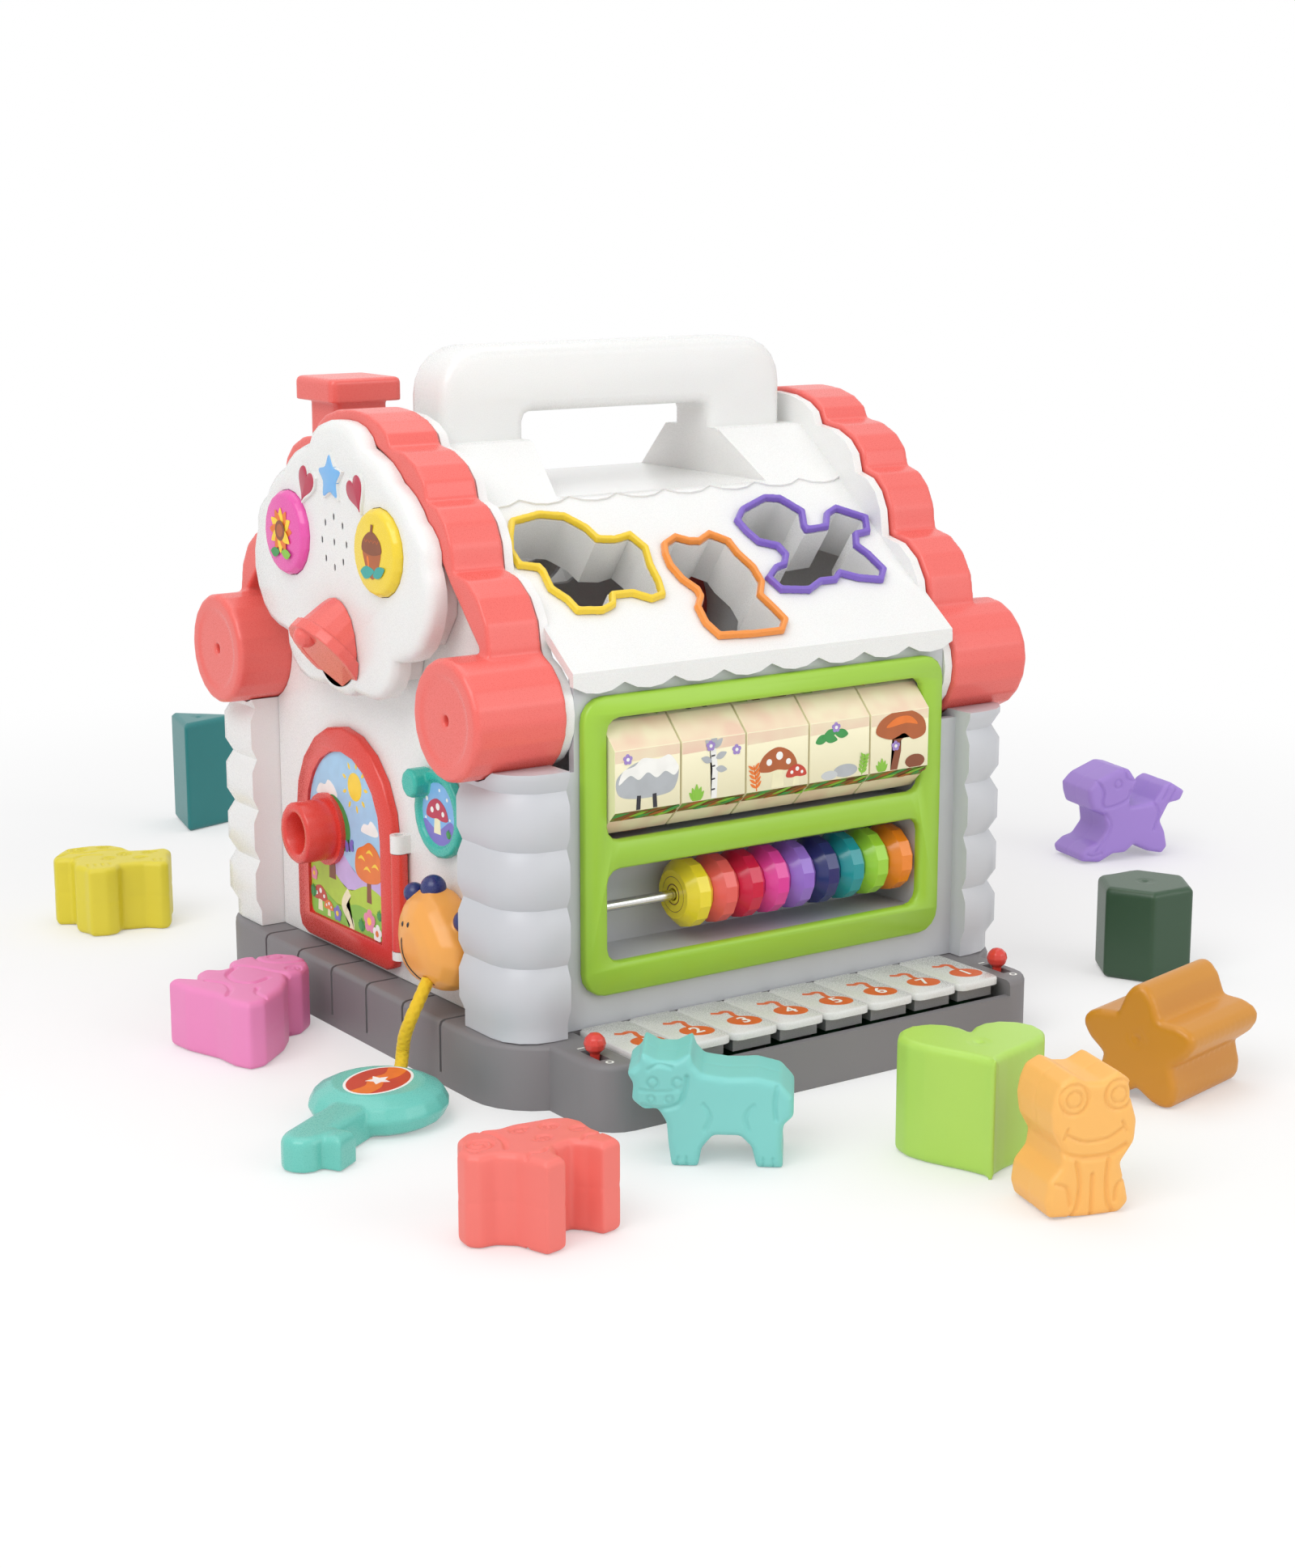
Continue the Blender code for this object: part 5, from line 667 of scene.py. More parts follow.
def press_lines(data, name):
    """Press the moulded lines into both flat faces, each fading out at its edge, and a dimple with
    a shallow pressed ring round it into the blocks that have no lines."""
    x, y, lean, turn, width, height = BLOCK_PLACES[name]
    tilt = math.pi / 2 if lean == "stand" else 0
    spin = Matrix.Rotation(math.radians(turn), 3, "Z") @ Matrix.Rotation(tilt, 3, "X")
    across, rise, depth_axis = (spin @ Vector(axis) for axis in ((1, 0, 0), (0, 1, 0), (0, 0, 1)))
    base = Vector((x, y, 0))
    heights = [(v.co - base).dot(rise) for v in data.vertices]
    foot = min(heights) if lean == "stand" else -height / 2 * MM
    # Each square of a grid keeps the pieces of line near it, so that a point tries only those
    cells = {}
    for line, wide, deep in BLOCK_LINES.get(name, []):
        points = [((u - 0.5) * width, v * height) for u, v in line]
        for a, b in zip(points, points[1:]):
            spans = [range(int((min(a[k], b[k]) - 2) // CELL), int((max(a[k], b[k]) + 2) // CELL) + 1)
                     for k in (0, 1)]
            for i in spans[0]:
                for j in spans[1]:
                    cells.setdefault((i, j), []).append((a, b, wide * 0.75, deep))
    for vertex, level in zip(data.vertices, heights):
        facing = vertex.normal.dot(depth_axis)
        if abs(facing) < 0.35:
            continue
        u = (vertex.co - base).dot(across) / MM
        v = (level - foot) / MM
        sink = 0.0
        for a, b, wide, deep in cells.get((int(u // CELL), int(v // CELL)), ()):
            dx, dy = b[0] - a[0], b[1] - a[1]
            span = dx * dx + dy * dy or 1e-9
            t = min(1, max(0, ((u - a[0]) * dx + (v - a[1]) * dy) / span))
            gap = math.hypot(u - a[0] - dx * t, v - a[1] - dy * t)
            if gap < wide:
                sink = max(sink, deep * (1 - (gap / wide) ** 2) ** 2)
        if not cells:
            gap = math.hypot(u, v - height / 2)
            if gap < DIMPLE_REACH:
                sink = 0.9 * (1 - (gap / DIMPLE_REACH) ** 2) ** 2
            elif gap < DIMPLE_REACH + DIMPLE_RIM:
                sink = 0.25 * math.sin((gap - DIMPLE_REACH) / DIMPLE_RIM * math.pi)
        if sink:
            vertex.co -= depth_axis * math.copysign(sink * MM, facing)


PLAIN_BLOCKS = ("triangle_block", "hexagon_block", "heart_block", "flower_block")

for name, code in BLOCK_COLOURS.items():
    plain = name in PLAIN_BLOCKS
    data = soft_form(name, 1.0 if plain else 0.65, 6 if plain else 16)
    press_lines(data, name)
    finish = moulded("polyethylene, blow-moulded, " + name.replace("_", " "), code,
                     roughness=0.36 if plain else 0.44, drift=0.06, relief=0.02)
    show(name, data, finish, "_soft")


def head_features():
    """Navy tuft and ear, two dark eyes and a drawn smile."""
    mesh = bmesh.new()
    for spot, reach in (((-0.1245, -0.0629, 0.0783), 5.4), ((-0.1285, -0.0542, 0.0749), 4.4),
                        ((-0.1227, -0.0847, 0.0687), 4.9)):
        ball(mesh, Matrix.Translation(spot), [reach * MM] * 3, 28, 18)
    make("tuft_and_ear", mesh, [NAVY], body_of("animal_head"))
    head = bpy.data.objects["animal_head_soft"]
    tree = BVHTree.FromObject(head, bpy.context.evaluated_depsgraph_get())

    def touch(y, z, out):
        """Point on the head's skin as seen from the door side, lifted off it in millimetres."""
        hit, normal, index, far = tree.ray_cast(Vector((-0.16, y, z)), Vector((1, 0, 0)))
        return hit + normal * out * MM

    eye = moulded("black ABS pin, polished", "221f24", roughness=0.15)
    mesh = bmesh.new()
    for y, z in ((-0.0588, 0.0640), (-0.0640, 0.0648)):
        ball(mesh, Matrix.Translation(touch(y, z, -0.25)), (0.8 * MM, 0.85 * MM, 1.25 * MM), 16, 10)
    make("eyes", mesh, [eye], body_of("animal_head"))
    line = smooth_loop([(-0.0590, 0.0585), (-0.0590, 0.0520), (-0.0625, 0.0465),
                        (-0.0680, 0.0428), (-0.0745, 0.0412)], 6, closed=False)
    mesh = bmesh.new()
    tube(mesh, [touch(y, z, 0.02) for y, z in line], 0.38 * MM, 8)
    make("drawn_smile", mesh, [eye], body_of("animal_head"))


head_features()


def bell_mouth():
    """Shallow disc that closes the leaning mouth of the half bell, flat where it meets the plate."""
    lean = math.atan2(0.0245, 0.020)
    mouth = door_side(PLATE_OUT + 6.2, 164.5) @ Matrix.Rotation(-math.pi / 2 - lean, 4, "X")
    mesh = bmesh.new()
    pad(mesh, mouth, oval(0, 0, 15.6, count=40), 0.4, 2.4, 0.6)
    for vertex in mesh.verts:
        vertex.co.x = min(vertex.co.x, BELL_BACK_X)
    make("bell_mouth", mesh, [CORAL], body_of("bell_lever"))


def ring_grooves():
    """Lines along the two turned grooves in each face of the abacus rings: on the yellow ring they are
    dark brown, painted shade in its grooves; on the others they keep the ring's own colour.
    """
    # Painted shade: this dark brown stands for the shadow in the yellow ring's grooves
    shade = moulded("painted shade in the yellow ring's grooves", "7a4a1e", roughness=0.4)
    for i in range(9):
        name = "abacus_ring_" + str(i + 1)
        low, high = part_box(name)
        mesh = bmesh.new()
        for x, out in ((low.x, -1), (high.x, 1)):
            for radius, half in ((4.2, 0.30), (7.4, 0.18)):
                loop = [(x - out * 0.12 * MM, ROD_Y + radius * MM * math.cos(math.tau * k / 40),
                         ROD_Z + radius * MM * math.sin(math.tau * k / 40)) for k in range(41)]
                tube(mesh, loop, half * MM, 8, taper=False)
        make(name + "_grooves", mesh, [shade if i == 0 else RING_FINISHES[i]], body_of(name))


bell_mouth()
ring_grooves()


# Cord from the head to the toy key

CORD_ROUTE = ((-0.1330, -0.0720, 0.0430), (-0.1385, -0.0745, 0.0365), (-0.1430, -0.0757, 0.0300),
              (-0.1450, -0.0735, 0.0220), (-0.1455, -0.0722, 0.0150), (-0.1480, -0.0750, 0.0100),
              (-0.1530, -0.0800, 0.0080))
CORD_DIAMETER = 0.0055
BRAID_PITCH = 0.007


def braid():
    """Round braid: the strands stand proud and cross over each other in a fixed pitch."""
    line = [Vector(point) for point in smooth_loop(CORD_ROUTE, 24, closed=False)]
    step = sum((b - a).length for a, b in zip(line, line[1:])) / (len(line) - 1)
    mesh = bmesh.new()

    def strands(i, t):
        along = math.tau * i * step / BRAID_PITCH
        return 0.84 + 0.16 * max(abs(math.sin(2 * t + along)), abs(math.sin(2 * t - along)))

    tube(mesh, line, CORD_DIAMETER / 2, count=32, taper=False, wave=strands)
    return line, make("braided_cord", mesh, [CORD_YELLOW], angle=80)


cord_points, cord_piece = braid()
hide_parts("cord")
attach(cord_piece, body_of("cord"))
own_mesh(cord_piece)


# Prints: flat garden motifs in the toy's own colours

INK = {name: printed("screen ink " + name, code) for name, code in (
    ("white", "fbfaf6"), ("sky blue", "a9d3f2"), ("pale lilac", "cdb4e8"), ("leaf", "8cc63f"),
    ("meadow", "b9d93c"), ("deep leaf", "3f9a4f"), ("sun yellow", "ffd83a"), ("orange", "ee7b2a"),
    ("brick red", "c9432f"), ("crimson", "c22f4f"), ("bark brown", "8a4a2a"),
    ("chestnut", "b5602f"), ("dark line", "2c2a33"), ("stone grey", "b7bbc0"),
    ("cornflower", "86bdf0"), ("violet", "7f74c9"), ("bud purple", "a58bd0"),
    ("note orange", "e0611c"), ("teal", "3aa9a0"), ("rose", "f08fb0"), ("tile cream", "f6efc8"),
    ("pale stone", "cfd2d4"))}
STRIP_SKY = printed("screen ink fading sky", "efcdb6", second="f3e6c6", scale=14.0)
STRIP_GROUND = printed("screen ink mossy ground", "6f9440", second="7e4a2c", scale=4.0)


def inside(outline, window):
    """Trim an outline to a convex window."""
    result = list(outline)
    for i in range(len(window)):
        (ax, ay), (bx, by) = window[i], window[(i + 1) % len(window)]
        source, result = result, []
        for j in range(len(source)):
            p, q = source[j - 1], source[j]
            sp = (bx - ax) * (p[1] - ay) - (by - ay) * (p[0] - ax)
            sq = (bx - ax) * (q[1] - ay) - (by - ay) * (q[0] - ax)
            if (sp >= 0) != (sq >= 0):
                t = sp / (sp - sq)
                result.append((p[0] + (q[0] - p[0]) * t, p[1] + (q[1] - p[1]) * t))
            if sq >= 0:
                result.append(q)
        if not result:
            return []
    tidy = []
    for point in result:
        if not tidy or math.hypot(point[0] - tidy[-1][0], point[1] - tidy[-1][1]) > 0.02:
            tidy.append(point)
    return tidy if len(tidy) > 2 else []


def anticlockwise(outline):
    area = sum(a[0] * b[1] - b[0] * a[1] for a, b in zip(outline, outline[1:] + outline[:1]))
    return outline if area > 0 else outline[::-1]


def picture(name, place, window, marks, body, start=0.05):
    """Lay a picture down, mark on mark, trimmed to its window. A mark is an outline and the name of
    its ink, and lies only as high as the marks under it need. Start is the first mark's height."""
    layers = []
    laid = []
    window = anticlockwise(window)
    for outline, ink in marks:
        kept = inside(anticlockwise(outline), window)
        if not kept:
            continue
        xs, ys = [x for x, y in kept], [y for x, y in kept]
        span = (min(xs), max(xs), min(ys), max(ys))
        under = [level for (a, b, c, d), level in laid
                 if a < span[1] and b > span[0] and c < span[3] and d > span[2]]
        level = 1 + max(under) if under else 0
        laid.append((span, level))
        layers.append((anticlockwise(kept), start + 0.05 * level, INK.get(ink, ink)))
    return film(name, place, layers, body)


def bloom(x, y, size, petal, heart_ink):
    marks = [(oval(x + size * 0.55 * math.cos(math.tau * i / 5 + 1.57),
                   y + size * 0.55 * math.sin(math.tau * i / 5 + 1.57), size * 0.42, count=14),
              petal) for i in range(5)]
    return marks + [(oval(x, y, size * 0.33, count=14), heart_ink)]


def fern(x, y, height, turn, ink):
    """Curved stalk with paired leaves."""
    marks = [(moved(stroke([(0, 0), (0.3, height * 0.5), (0, height)], 0.5), x, y, turn), ink)]
    for i in range(1, 6):
        level = height * i / 6
        for side in (-1, 1):
            marks.append((moved(leaf(0, level, height * 0.32, 1.1, 90 - side * 48), x, y, turn),
                          ink))
    return marks


def toadstool(x, y, size, cap):
    stalk = [(-0.2, 0), (0.2, 0), (0.14, 0.6), (-0.14, 0.6)]
    dome = smooth_loop([(-0.62, 0.5), (-0.45, 0.86), (0, 1.05), (0.45, 0.86), (0.62, 0.5),
                        (0.3, 0.42), (0, 0.46), (-0.3, 0.42)], 5)
    marks = [(moved(stalk, x, y, 0, size), "tile cream"), (moved(dome, x, y, 0, size), cap)]
    for u, v, r in ((-0.28, 0.68, 0.09), (0.05, 0.82, 0.11), (0.34, 0.64, 0.08)):
        marks.append((oval(x + u * size, y + v * size, r * size, count=12), "white"))
    return marks


def round_tree(x, y, size, crown, light, trunk):
    marks = [(moved([(-0.09, 0), (0.09, 0), (0.06, 0.6), (-0.06, 0.6)], x, y, 0, size), trunk)]
    puffs = smooth_loop([(-0.5, 0.62), (-0.42, 0.9), (-0.18, 1.02), (0.06, 1.12), (0.34, 1.0),
                         (0.5, 0.74), (0.42, 0.48), (0.14, 0.38), (-0.16, 0.36), (-0.42, 0.44)], 5)
    marks.append((moved(puffs, x, y, 0, size), crown))
    for u, v in ((-0.25, 0.75), (0.05, 0.9), (0.25, 0.68), (-0.05, 0.58)):
        marks.append((moved(smooth_loop([(-0.13, 0), (0, 0.09), (0.13, 0), (0, 0.03)], 4),
                            x + u * size, y + v * size, 0, size), light))
    return marks


def tuft(x, y, size, ink):
    return [(leaf(x, y, size * (1 - 0.12 * abs(i)), size * 0.3, 90 + i * 20), ink)
            for i in (-2, 2, -1, 1, 0)]


def door_picture():
    """Garden under a light sky on the door's sunk panel."""
    half, centre, foot, spring = 32.6, -23.5, 40.9, 86.0
    window = [(centre - half, foot + 3), (centre - half + 1, foot + 1), (centre - half + 3, foot),
              (centre + half - 3, foot), (centre + half - 1, foot + 1), (centre + half, foot + 3)]
    window += [(centre + half * math.cos(math.pi * i / 24), spring
                + half * math.sin(math.pi * i / 24)) for i in range(25)]
    marks = [(window, "sky blue")]
    cloud = smooth_loop([(-9, 0), (-6, 4), (-1, 4.5), (2, 7), (7, 5), (10, 1), (6, -1), (-5, -1)],
                        5)
    marks += [(moved(cloud, -40, 97), "white"), (moved(cloud, -2, 87, 0, 0.8), "white")]
    marks += [(oval(-14, 105, 6.2), "sun yellow")]
    for i in range(9):
        marks.append((moved(leaf(8, 0, 3.4, 1.6, 0), -14, 105, i * 40), "sun yellow"))
    marks += [(smooth_loop([(-62, 40), (-60, 72), (-44, 80), (-28, 74), (-10, 66), (12, 74),
                            (16, 40)], 6), "pale lilac")]
    marks += [(smooth_loop([(-62, 38), (-60, 60), (-42, 66), (-22, 58), (-4, 63), (14, 57),
                            (16, 38)], 6), "meadow")]
    marks += round_tree(-36, 60, 34, "deep leaf", "leaf", "bark brown")
    for u, v in ((-44, 83), (-35, 88), (-28, 81), (-38, 77), (-27, 90)):
        marks.append((oval(u, v, 1.9, count=14), "brick red"))
    marks += round_tree(-3, 56, 24, "orange", "sun yellow", "bark brown")
    marks += [(smooth_loop([(-62, 36), (-60, 50), (-48, 54), (-30, 49), (-12, 53), (12, 49),
                            (16, 36)], 6), "leaf")]
    path = stroke(smooth_loop([(-22, 36), (-19, 43), (-26, 50), (-21, 57)], 6, closed=False), 4.2)
    marks += [(path, "tile cream")]
    marks += toadstool(-48, 43, 11, "brick red") + toadstool(-40, 42, 7, "orange")
    marks += bloom(-3, 48, 5.5, "rose", "sun yellow") + bloom(4, 44, 4.2, "white", "orange")
    marks += bloom(-32, 45, 3.8, "violet", "sun yellow") + bloom(-53, 59, 3.4, "rose", "sun yellow")
    marks += tuft(-10, 42, 6, "deep leaf") + tuft(6, 50, 5, "deep leaf") + tuft(-54, 48, 6, "deep leaf")
    wing = smooth_loop([(0, 0), (2.6, 2.6), (4.4, 1.6), (3.4, -0.4), (3.6, -2.4), (1.6, -2.4)], 4)
    for side in (1, -1):
        marks.append((moved([(side * u, v) for u, v in wing], -20, 78, 12), "violet"))
    marks.append((moved(stroke([(0, -2.6), (0, 2.6)], 0.7), -20, 78, 12), "dark line"))
    picture("door_picture", door_side(3.1), window, marks, body_of("door"), start=0.08)


def window_picture():
    """Blue disc of the turning window with a mushroom and snow dots."""
    window = oval(57, 107, 13.2, count=48)
    marks = [(window, "cornflower"), (smooth_loop([(42, 92), (45, 103), (56, 100), (68, 105), (72, 90)],
                                              6), "violet")]
    marks += toadstool(56, 98.5, 14, "crimson")
    for u, v, r in ((48, 112, 1.0), (64, 114, 0.8), (66, 106, 0.6), (47, 104, 0.6), (58, 117, 0.7)):
        marks.append((oval(u, v, r, count=12), "white"))
    marks += tuft(65, 98, 4, "deep leaf")
    picture("window_picture", door_side(3.0), window, marks, body_of("window_dial"), start=0.08)


# Places on the face plate, in millimetres from its middle, over the floor and out of the wall
BUTTON_OUT = 39.5
BUTTON_HEIGHT = 213
BUTTON_FACE_OUT = 21.62
LIGHTS_HEIGHT = 239.5
# Foot, top and rounded edge of the light lenses over the plate's borders
LENS_RISE = (-1.2, 0.35, 0.5)


def button_pictures():
    """A sunflower on the pink button and an acorn with a leaf on the yellow one."""
    face = door_side(BUTTON_FACE_OUT)
    x, y = -BUTTON_OUT, BUTTON_HEIGHT
    window = oval(x, y, 12.4, count=40)
    marks = []
    for i in range(12):
        marks.append((leaf(x, y + 1, 9.6, 4.6, i * 30), "sun yellow" if i % 2 else "orange"))
    marks += [(oval(x, y + 1, 4.3), "bark brown"), (oval(x, y + 1, 2.8), "chestnut")]
    marks += [(leaf(x + 1, y - 8, 9, 4, -8), "leaf"), (leaf(x - 1, y - 8, 9, 4, 188), "deep leaf")]
    picture("pink_button_picture", face, window, marks, body_of("pink_button"), start=0.10)
    x = BUTTON_OUT
    window = oval(x, y, 12.4, count=40)
    nut = smooth_loop([(-6.5, 1.5), (-6, -4), (-3, -8.5), (0, -10.5), (3, -8.5), (6, -4),
                       (6.5, 1.5)], 5)
    cap = smooth_loop([(-8, 1), (-7, 5), (-3, 8), (0, 8.6), (3, 8), (7, 5), (8, 1), (4, -0.4),
                       (0, -0.8), (-4, -0.4)], 5)
    marks = [(moved(nut, x, y), "chestnut"), (moved(cap, x, y), "bark brown"),
             (moved(stroke([(0, 8), (0.6, 11.6)], 1.6), x, y), "bark brown"),
             (moved(smooth_loop([(-4, -1.6), (-3.2, -6), (-2, -7), (-2.6, -2)], 4), x, y),
              "orange")]
    for u in (-4.4, -1.4, 1.6, 4.6):
        marks.append((moved(stroke([(u - 1.2, 5.4), (u, 4.2), (u + 1.2, 5.4)], 0.5), x, y),
                      "chestnut"))
    marks += [(leaf(x - 10, y - 9, 12, 5, 10), "teal"), (leaf(x + 1, y - 9, 10, 4.4, 22),
                                                          "teal")]
    picture("yellow_button_picture", face, window, marks, body_of("yellow_button"), start=0.10)


def lights():
    """Clear light lenses: a blue star and two crimson hearts inside their white borders."""
    place = door_side(PLATE_OUT + 1.4)
    blue = moulded("blue polystyrene light lens", "79b8ee", roughness=0.16, soft=0.2)
    red = moulded("crimson polystyrene light lens", "bb2f4c", roughness=0.16, soft=0.1)
    mesh = bmesh.new()
    pad(mesh, place, smooth_loop(star(0, LIGHTS_HEIGHT, 9.6, 0.6), 4), *LENS_RISE)
    make("star_lens", mesh, [blue], body_of("gable_face"))
    mesh = bmesh.new()
    for side in (-1, 1):
        shape = moved(heart(13.0, 14.8), side * 22, LIGHTS_HEIGHT - 5, side * 25)
        pad(mesh, place, shape, *LENS_RISE)
    make("heart_lenses", mesh, [red], body_of("gable_face"))


def speaker():
    """Dark fills in the speaker slots, one in the middle and eight round it: painted shade of the
    hollow behind the plate.
    """
    # Painted shade: near-black fills sunk in each slot stand for the shadow in the hollow behind them
    dark = moulded("painted shade in the speaker slots", "3b3a40", roughness=0.8, grain=0.4)
    mesh = bmesh.new()
    place = door_side(PLATE_OUT)
    spots = [(0, BUTTON_HEIGHT)] + oval(0, BUTTON_HEIGHT, 10.5, count=8, turn=90)
    for x, y in spots:
        pad(mesh, place, oval(x, y, 0.68, 1.55, 12), -1.6, -0.25, 0.2, 2)
    make("speaker_slot_shade", mesh, [dark], body_of("gable_face"))


def numeral(name, number, size, place, ink, body):
    """A plain printed numeral."""
    text = bpy.data.curves.new(name, "FONT")
    text.body = str(number)
    text.size = size * MM
    text.align_x = "CENTER"
    text.align_y = "CENTER"
    text.extrude = 0.04 * MM
    text.offset = 0.16 * MM
    work = into_scene(name, text)
    bpy.context.view_layer.update()
    data = bpy.data.meshes.new_from_object(
        work.evaluated_get(bpy.context.evaluated_depsgraph_get()))
    bpy.data.objects.remove(work)
    data.transform(place)
    data.materials.clear()
    data.materials.append(ink)
    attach(into_scene(name, data), body)


PIANO_KEY_PITCH = 23.5
PIANO_KEY_TOP = 0.0285


def note_prints():
    """An orange note on each key, with its number in the note's head. The last key is one again."""
    top = side_of((0, 0, PIANO_KEY_TOP), (1, 0, 0), (0, 1, 0))
    for i in range(8):
        left, back = (i - 4) * PIANO_KEY_PITCH, -124.0
        marks = [(oval(left + 14.6, back - 27.2, 7.2, 5.9, turn=-24), "note orange")]
        stem = [(15.2, 23.0), (15.0, 19.0), (16.0, 15.0), (14.0, 13.2), (11.4, 14.0), (8.4, 12.4)]
        line = smooth_loop([(left + x, back - y) for x, y in stem], 4, closed=False)
        marks.append((stroke(line, 2.1), "note orange"))
        window = [(left + 0.8, back - 39), (left + 22.7, back - 39), (left + 22.7, back - 1),
                  (left + 0.8, back - 1)]
        body = body_of("piano_key_" + str(i + 1))
        picture("note_print_" + str(i + 1), top, window, marks, body)
        spot = top @ Matrix.Translation(((left + 14.6) * MM, (back - 27.2) * MM, 0.2 * MM))
        numeral("note_number_" + str(i + 1), i + 1 if i < 7 else 1, 9.5, spot, INK["white"], body)


def switch_marks():
    """Small white marks beside the two slides: a bar at one end and a nought at the other."""
    top = side_of((0, 0, 0.027), (1, 0, 0), (0, 1, 0))
    for side, middle in (("left", -103.8), ("right", 103.8)):
        place = top @ Matrix.Translation((middle * MM, -150 * MM, 0))
        marks = [(stroke([(-1.6, 10), (1.6, 10)], 0.8), "white"),
                 (oval(0, -10.4, 1.7, count=20), "white"),
                 (oval(0, -10.4, 0.9, count=16), TRAY_GREY)]
        window = [(-6, -14), (6, -14), (6, 14), (-6, 14)]
        picture("switch_marks_" + side, place, window, marks, body_of("base_tray"))


# The tile roller in millimetres: its tiles' pitch and half length, and half of each face's height
TILE_PITCH = 32.2
TILE_HALF = 15.45
FACE_HALF = 12.25
BEVEL_HALF = 7.3


def tile_scenes():
    """Marks of the five scenes on the tiles, in millimetres from the middle of a tile."""
    trunk = [(stroke([(0, -12), (0.6, 0), (-0.6, 9)], 2.6), "white")]
    notches = [(stroke([(-1.2, v), (0.5, v + 0.2)], 0.6), "dark line") for v in (-8, -4, 1, 5)]
    twigs = [(leaf(u, v, 5.2, 2.6, t), "stone grey") for u, v, t in (
        (0, 8, 40), (0, 8, 140), (1, 4, 20), (-1, 3, 160), (0, 9, 90), (1, 0, -10))]
    blades = [(leaf(u, v, 7, 3.6, t), "deep leaf") for u, v, t in (
        (-12, 4, 20), (-8, 6, -15), (-2, 8, 200), (4, 6, 170))]
    return {
        "bush": [(smooth_loop([(-13, -5), (-14, 1), (-9, 5), (-3, 7), (4, 6.4), (10, 7), (14, 2),
                               (12, -5), (6, -7), (-6, -7)], 5), "stone grey"),
                 (smooth_loop([(-13, -1), (-11, 4), (-6, 5.4), (-2, 8), (5, 7), (10, 8), (14, 3),
                               (12, 0), (8, 2), (4, 0), (0, 2.4), (-4, 0), (-8, 2)], 5), "white"),
                 (stroke([(-4, -6), (-4.4, -12)], 1.8), "dark line"),
                 (stroke([(3, -6), (3.4, -12)], 1.8), "dark line")],
        "birch": trunk + notches + twigs + tuft(-8, -12, 7, "leaf"),
        "toadstools": toadstool(0, -11, 15, "chestnut") + toadstool(9, -11.4, 8, "brick red")
        + fern(-10, -12, 11, 8, "orange"),
        "stones": [(oval(3, -8.6, 6, 2.6, 22), "stone grey"),
                   (oval(-5, -9.6, 4, 1.8, 22), "pale stone")]
        + fern(11, -12, 9, -10, "leaf") + blades,
        "oak": [(stroke([(-3, -12), (-1, -4), (-2, 4), (2, 9)], 3.4), "bark brown"),
                (stroke([(-1, 0), (5, 5)], 1.8), "bark brown"),
                (smooth_loop([(-12, 4), (-10, 9), (-3, 12), (5, 12), (12, 8), (13, 2), (7, 0),
                              (2, 3), (-4, 1)], 5), "chestnut"),
                (smooth_loop([(-7, 6), (-2, 9.6), (5, 9.6), (9, 6), (3, 7)], 4), "orange"),
                (oval(8, -9, 5, 2.8, 20), "bark brown")] + tuft(-9, -12, 6, "leaf"),
    }


def strip_marks(order):
    """Marks of one long face of the tile roller, from left to right over all five tiles."""
    scenes = tile_scenes()
    marks = []
    for i, name in enumerate(order):
        for outline, ink in scenes[name]:
            marks.append((moved(outline, (i - 2) * TILE_PITCH, -0.2, 0, 1.06), ink))
    for x, y in ((-74, 8.6), (-34, 9.4), (-21, 6.4), (30, 9.6), (62, -2)):
        marks += bloom(x, y, 2.3, "bud purple", "white")
    return marks


def tile_pictures():
    """Pictures on the four broad faces of the rollers and sky or ground on the bevels between."""
    orders = (("bush", "birch", "toadstools", "stones", "oak"),
              ("oak", "stones", "bush", "toadstools", "birch"),
              ("toadstools", "oak", "birch", "bush", "stones"),
              ("stones", "bush", "oak", "birch", "toadstools"))
    axle = Matrix.Translation((0, -0.106, 0.1284))
    for i in range(5):
        middle = (i - 2) * TILE_PITCH
        left, right = middle - TILE_HALF, middle + TILE_HALF
        body = body_of("picture_tile_" + str(i + 1))
        for k in range(4):
            turn = axle @ Matrix.Rotation(math.pi / 2 * k, 4, "X")
            face = turn @ side_of((0, -0.023, 0), (1, 0, 0), (0, 0, 1))
            window = [(left, -FACE_HALF), (right, -FACE_HALF), (right, FACE_HALF),
                      (left, FACE_HALF)]
            marks = [([(left, 7.4), (right, 8.2), (right, FACE_HALF), (left, FACE_HALF)],
                      STRIP_SKY)]
            picture("tile_picture_%d_%d" % (i + 1, k + 1), face, window,
                    marks + strip_marks(orders[k]), body)
            tilt = turn @ Matrix.Rotation(math.pi / 4, 4, "X") @ side_of(
                (0, -0.02503, 0), (1, 0, 0), (0, 0, 1))
            bevel = [(left, -BEVEL_HALF), (right, -BEVEL_HALF), (right, BEVEL_HALF),
                     (left, BEVEL_HALF)]
            marks = [([(left, -BEVEL_HALF), (right, -BEVEL_HALF), (right, 6.6), (left, 6.4)],
                      STRIP_SKY)]
            bare = k == 3
            if not bare:
                marks.append(([(left, 1.6), (right, 1.0), (right, BEVEL_HALF), (left, BEVEL_HALF)],
                              STRIP_GROUND))
            for j in range(0 if bare else 10):
                x = left + 1.5 + 3.2 * j
                y = 5.4 - 3.4 * ((j * 7 + i * 3) % 5) / 5
                ink = ("deep leaf", "bark brown", "chestnut", "leaf")[(j + i) % 4]
                marks.append((leaf(x - 3, y - 1, 9, 1.9, 14 + 6 * (j % 3)), ink))
            picture("tile_bevel_%d_%d" % (i + 1, k + 1), tilt, bevel, marks, body)


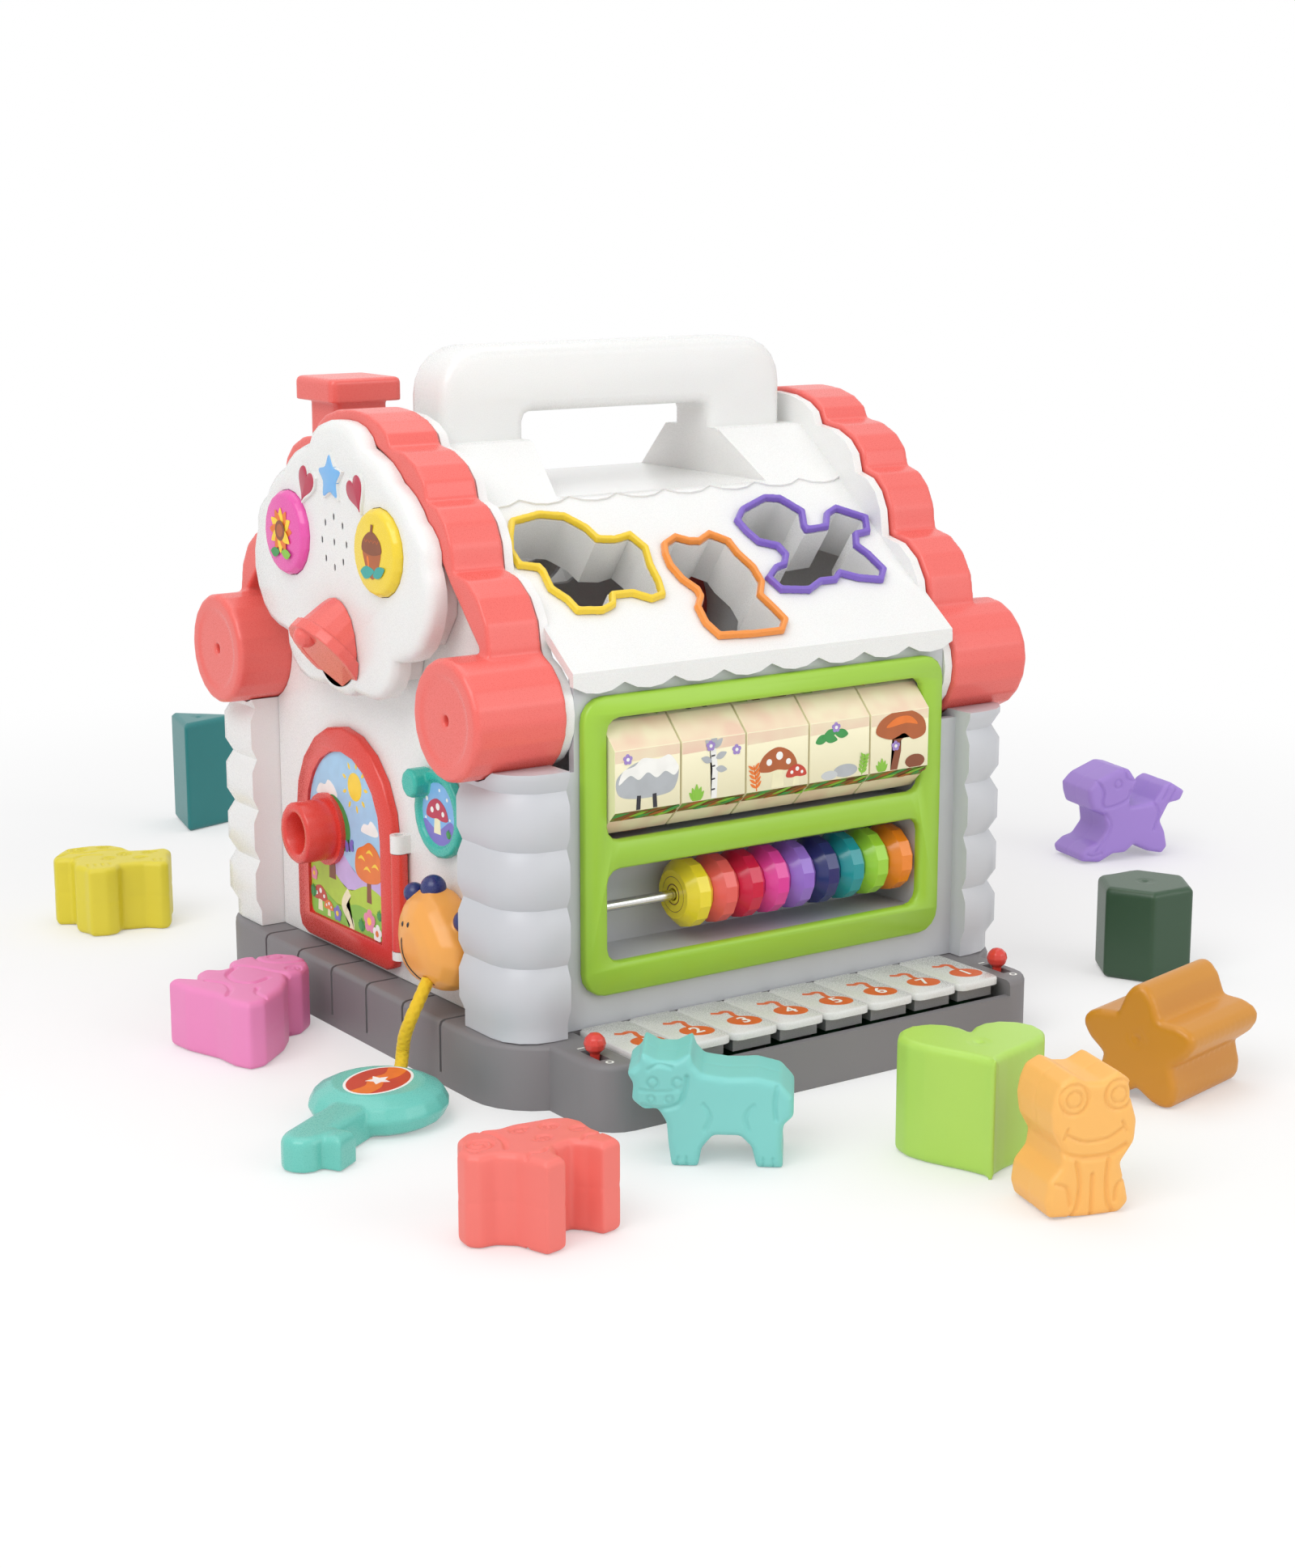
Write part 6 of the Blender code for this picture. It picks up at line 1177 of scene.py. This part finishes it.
def key_label():
    """Red oval on the toy key with an orange band and a star."""
    turn = -148
    top = side_of((-0.172, -0.100, 0.0158), (1, 0, 0), (0, 1, 0))
    marks = [(oval(0, 0, 17.5, 12.5, 40, turn), "white"), (oval(0, 0, 16.3, 11.4, 40, turn),
                                                            "brick red")]
    band = [(-17, -4.0), (-8, -1.6), (0, -4.4), (8, -1.6), (17, -4.0), (17, 3.4), (8, 5.2), (0, 3.0),
            (-8, 5.2), (-17, 3.4)]
    marks.append((inside(moved(smooth_loop(band, 4), 0, 0, turn),
                         anticlockwise(oval(0, 0, 16.3, 11.4, 40, turn))), "orange"))
    marks.append((moved(star(0, 0, 5.2, 0.5), 0, 0, turn), "white"))
    window = oval(0, 0, 18.4, count=40)
    picture("key_label", top, window, marks, body_of("toy_key"))


door_picture()
window_picture()
button_pictures()
lights()
speaker()
note_prints()
switch_marks()
tile_pictures()
key_label()


# Floor, backdrop and lights


def direct_view(tree):
    """One where the camera, a gloss or a clear piece looks straight on, nought for light itself."""
    ray = add(tree, "LightPath")
    seen = add(tree, "Math", {"operation": "MAXIMUM"},
               {0: ray.outputs["Is Camera Ray"], 1: ray.outputs["Is Glossy Ray"]})
    return add(tree, "Math", {"operation": "MAXIMUM"},
               {0: seen.outputs[0], 1: ray.outputs["Is Transmission Ray"]}).outputs[0]


def paper():
    """White paper sweep: the camera and glossy surfaces see it white, and it keeps shadows."""
    made, tree = new_material("white paper sweep")
    place = add(tree, "TexCoord").outputs["Object"]
    fibre = add(tree, "TexNoise", {"Scale": 1 / (3 * MM), "Detail": 3.0},
                {"Vector": place})
    bump = add(tree, "Bump", {"Strength": 0.1, "Distance": 0.05 * MM},
               {"Height": fibre.outputs["Fac"]})
    shader = add(tree, "BsdfPrincipled", {"Base Color": linear("f7f7f7"),
                                          "Roughness": 0.9}, {"Normal": bump.outputs[0]})
    away = add(tree, "VectorMath", {"operation": "LENGTH"}, {0: place})
    fade = add(tree, "MapRange", {"interpolation_type": "SMOOTHSTEP", 1: 0.36, 2: 0.80,
                                  3: 0.35, 4: 1.0}, {0: away.outputs["Value"]})
    seen = direct_view(tree)
    share = add(tree, "Math", {"operation": "MULTIPLY"},
                {0: fade.outputs[0], 1: seen})
    white = add(tree, "Emission", {"Color": (1, 1, 1, 1), "Strength": 1.0})
    blend = add(tree, "MixShader", None, {0: share.outputs[0], 1: shader.outputs[0],
                                          2: white.outputs[0]})
    add(tree, "OutputMaterial", links={"Surface": blend.outputs[0]})
    return made


mesh = bmesh.new()
bmesh.ops.create_grid(mesh, x_segments=4, y_segments=4, size=6)
floor = make("paper_sweep", mesh, [paper()], smooth=False)

world = bpy.data.worlds.new("studio")
bpy.context.scene.world = world
world.use_nodes = True
world.node_tree.nodes.clear()
strength = add(world.node_tree, "MapRange", {1: 0.0, 2: 1.0, 3: 0.55, 4: 1.0},
               {0: direct_view(world.node_tree)})
sky = add(world.node_tree, "Background", {"Color": (1, 1, 1, 1)},
          {"Strength": strength.outputs[0]})
add(world.node_tree, "OutputWorld", links={"Surface": sky.outputs[0]})


def softbox(name, place, target, width, height, power):
    data = bpy.data.lights.new(name, "AREA")
    data.shape = "RECTANGLE"
    data.size = width
    data.size_y = height
    data.energy = power
    lamp = into_scene(name, data)
    lamp.location = place
    lamp.rotation_euler = (Vector(target) - Vector(place)).to_track_quat("-Z", "Y").to_euler()


softbox("window light", (-1.3, -0.7, 1.5), (0, 0, 0.1), 1.4, 1.2, 17)
softbox("front fill", (0.9, -1.9, 1.0), (0, 0, 0.1), 1.6, 1.2, 10)
softbox("top light", (0.1, 0.3, 2.0), (0, 0, 0.1), 1.6, 1.6, 9)

bpy.context.scene.view_settings.view_transform = "Standard"
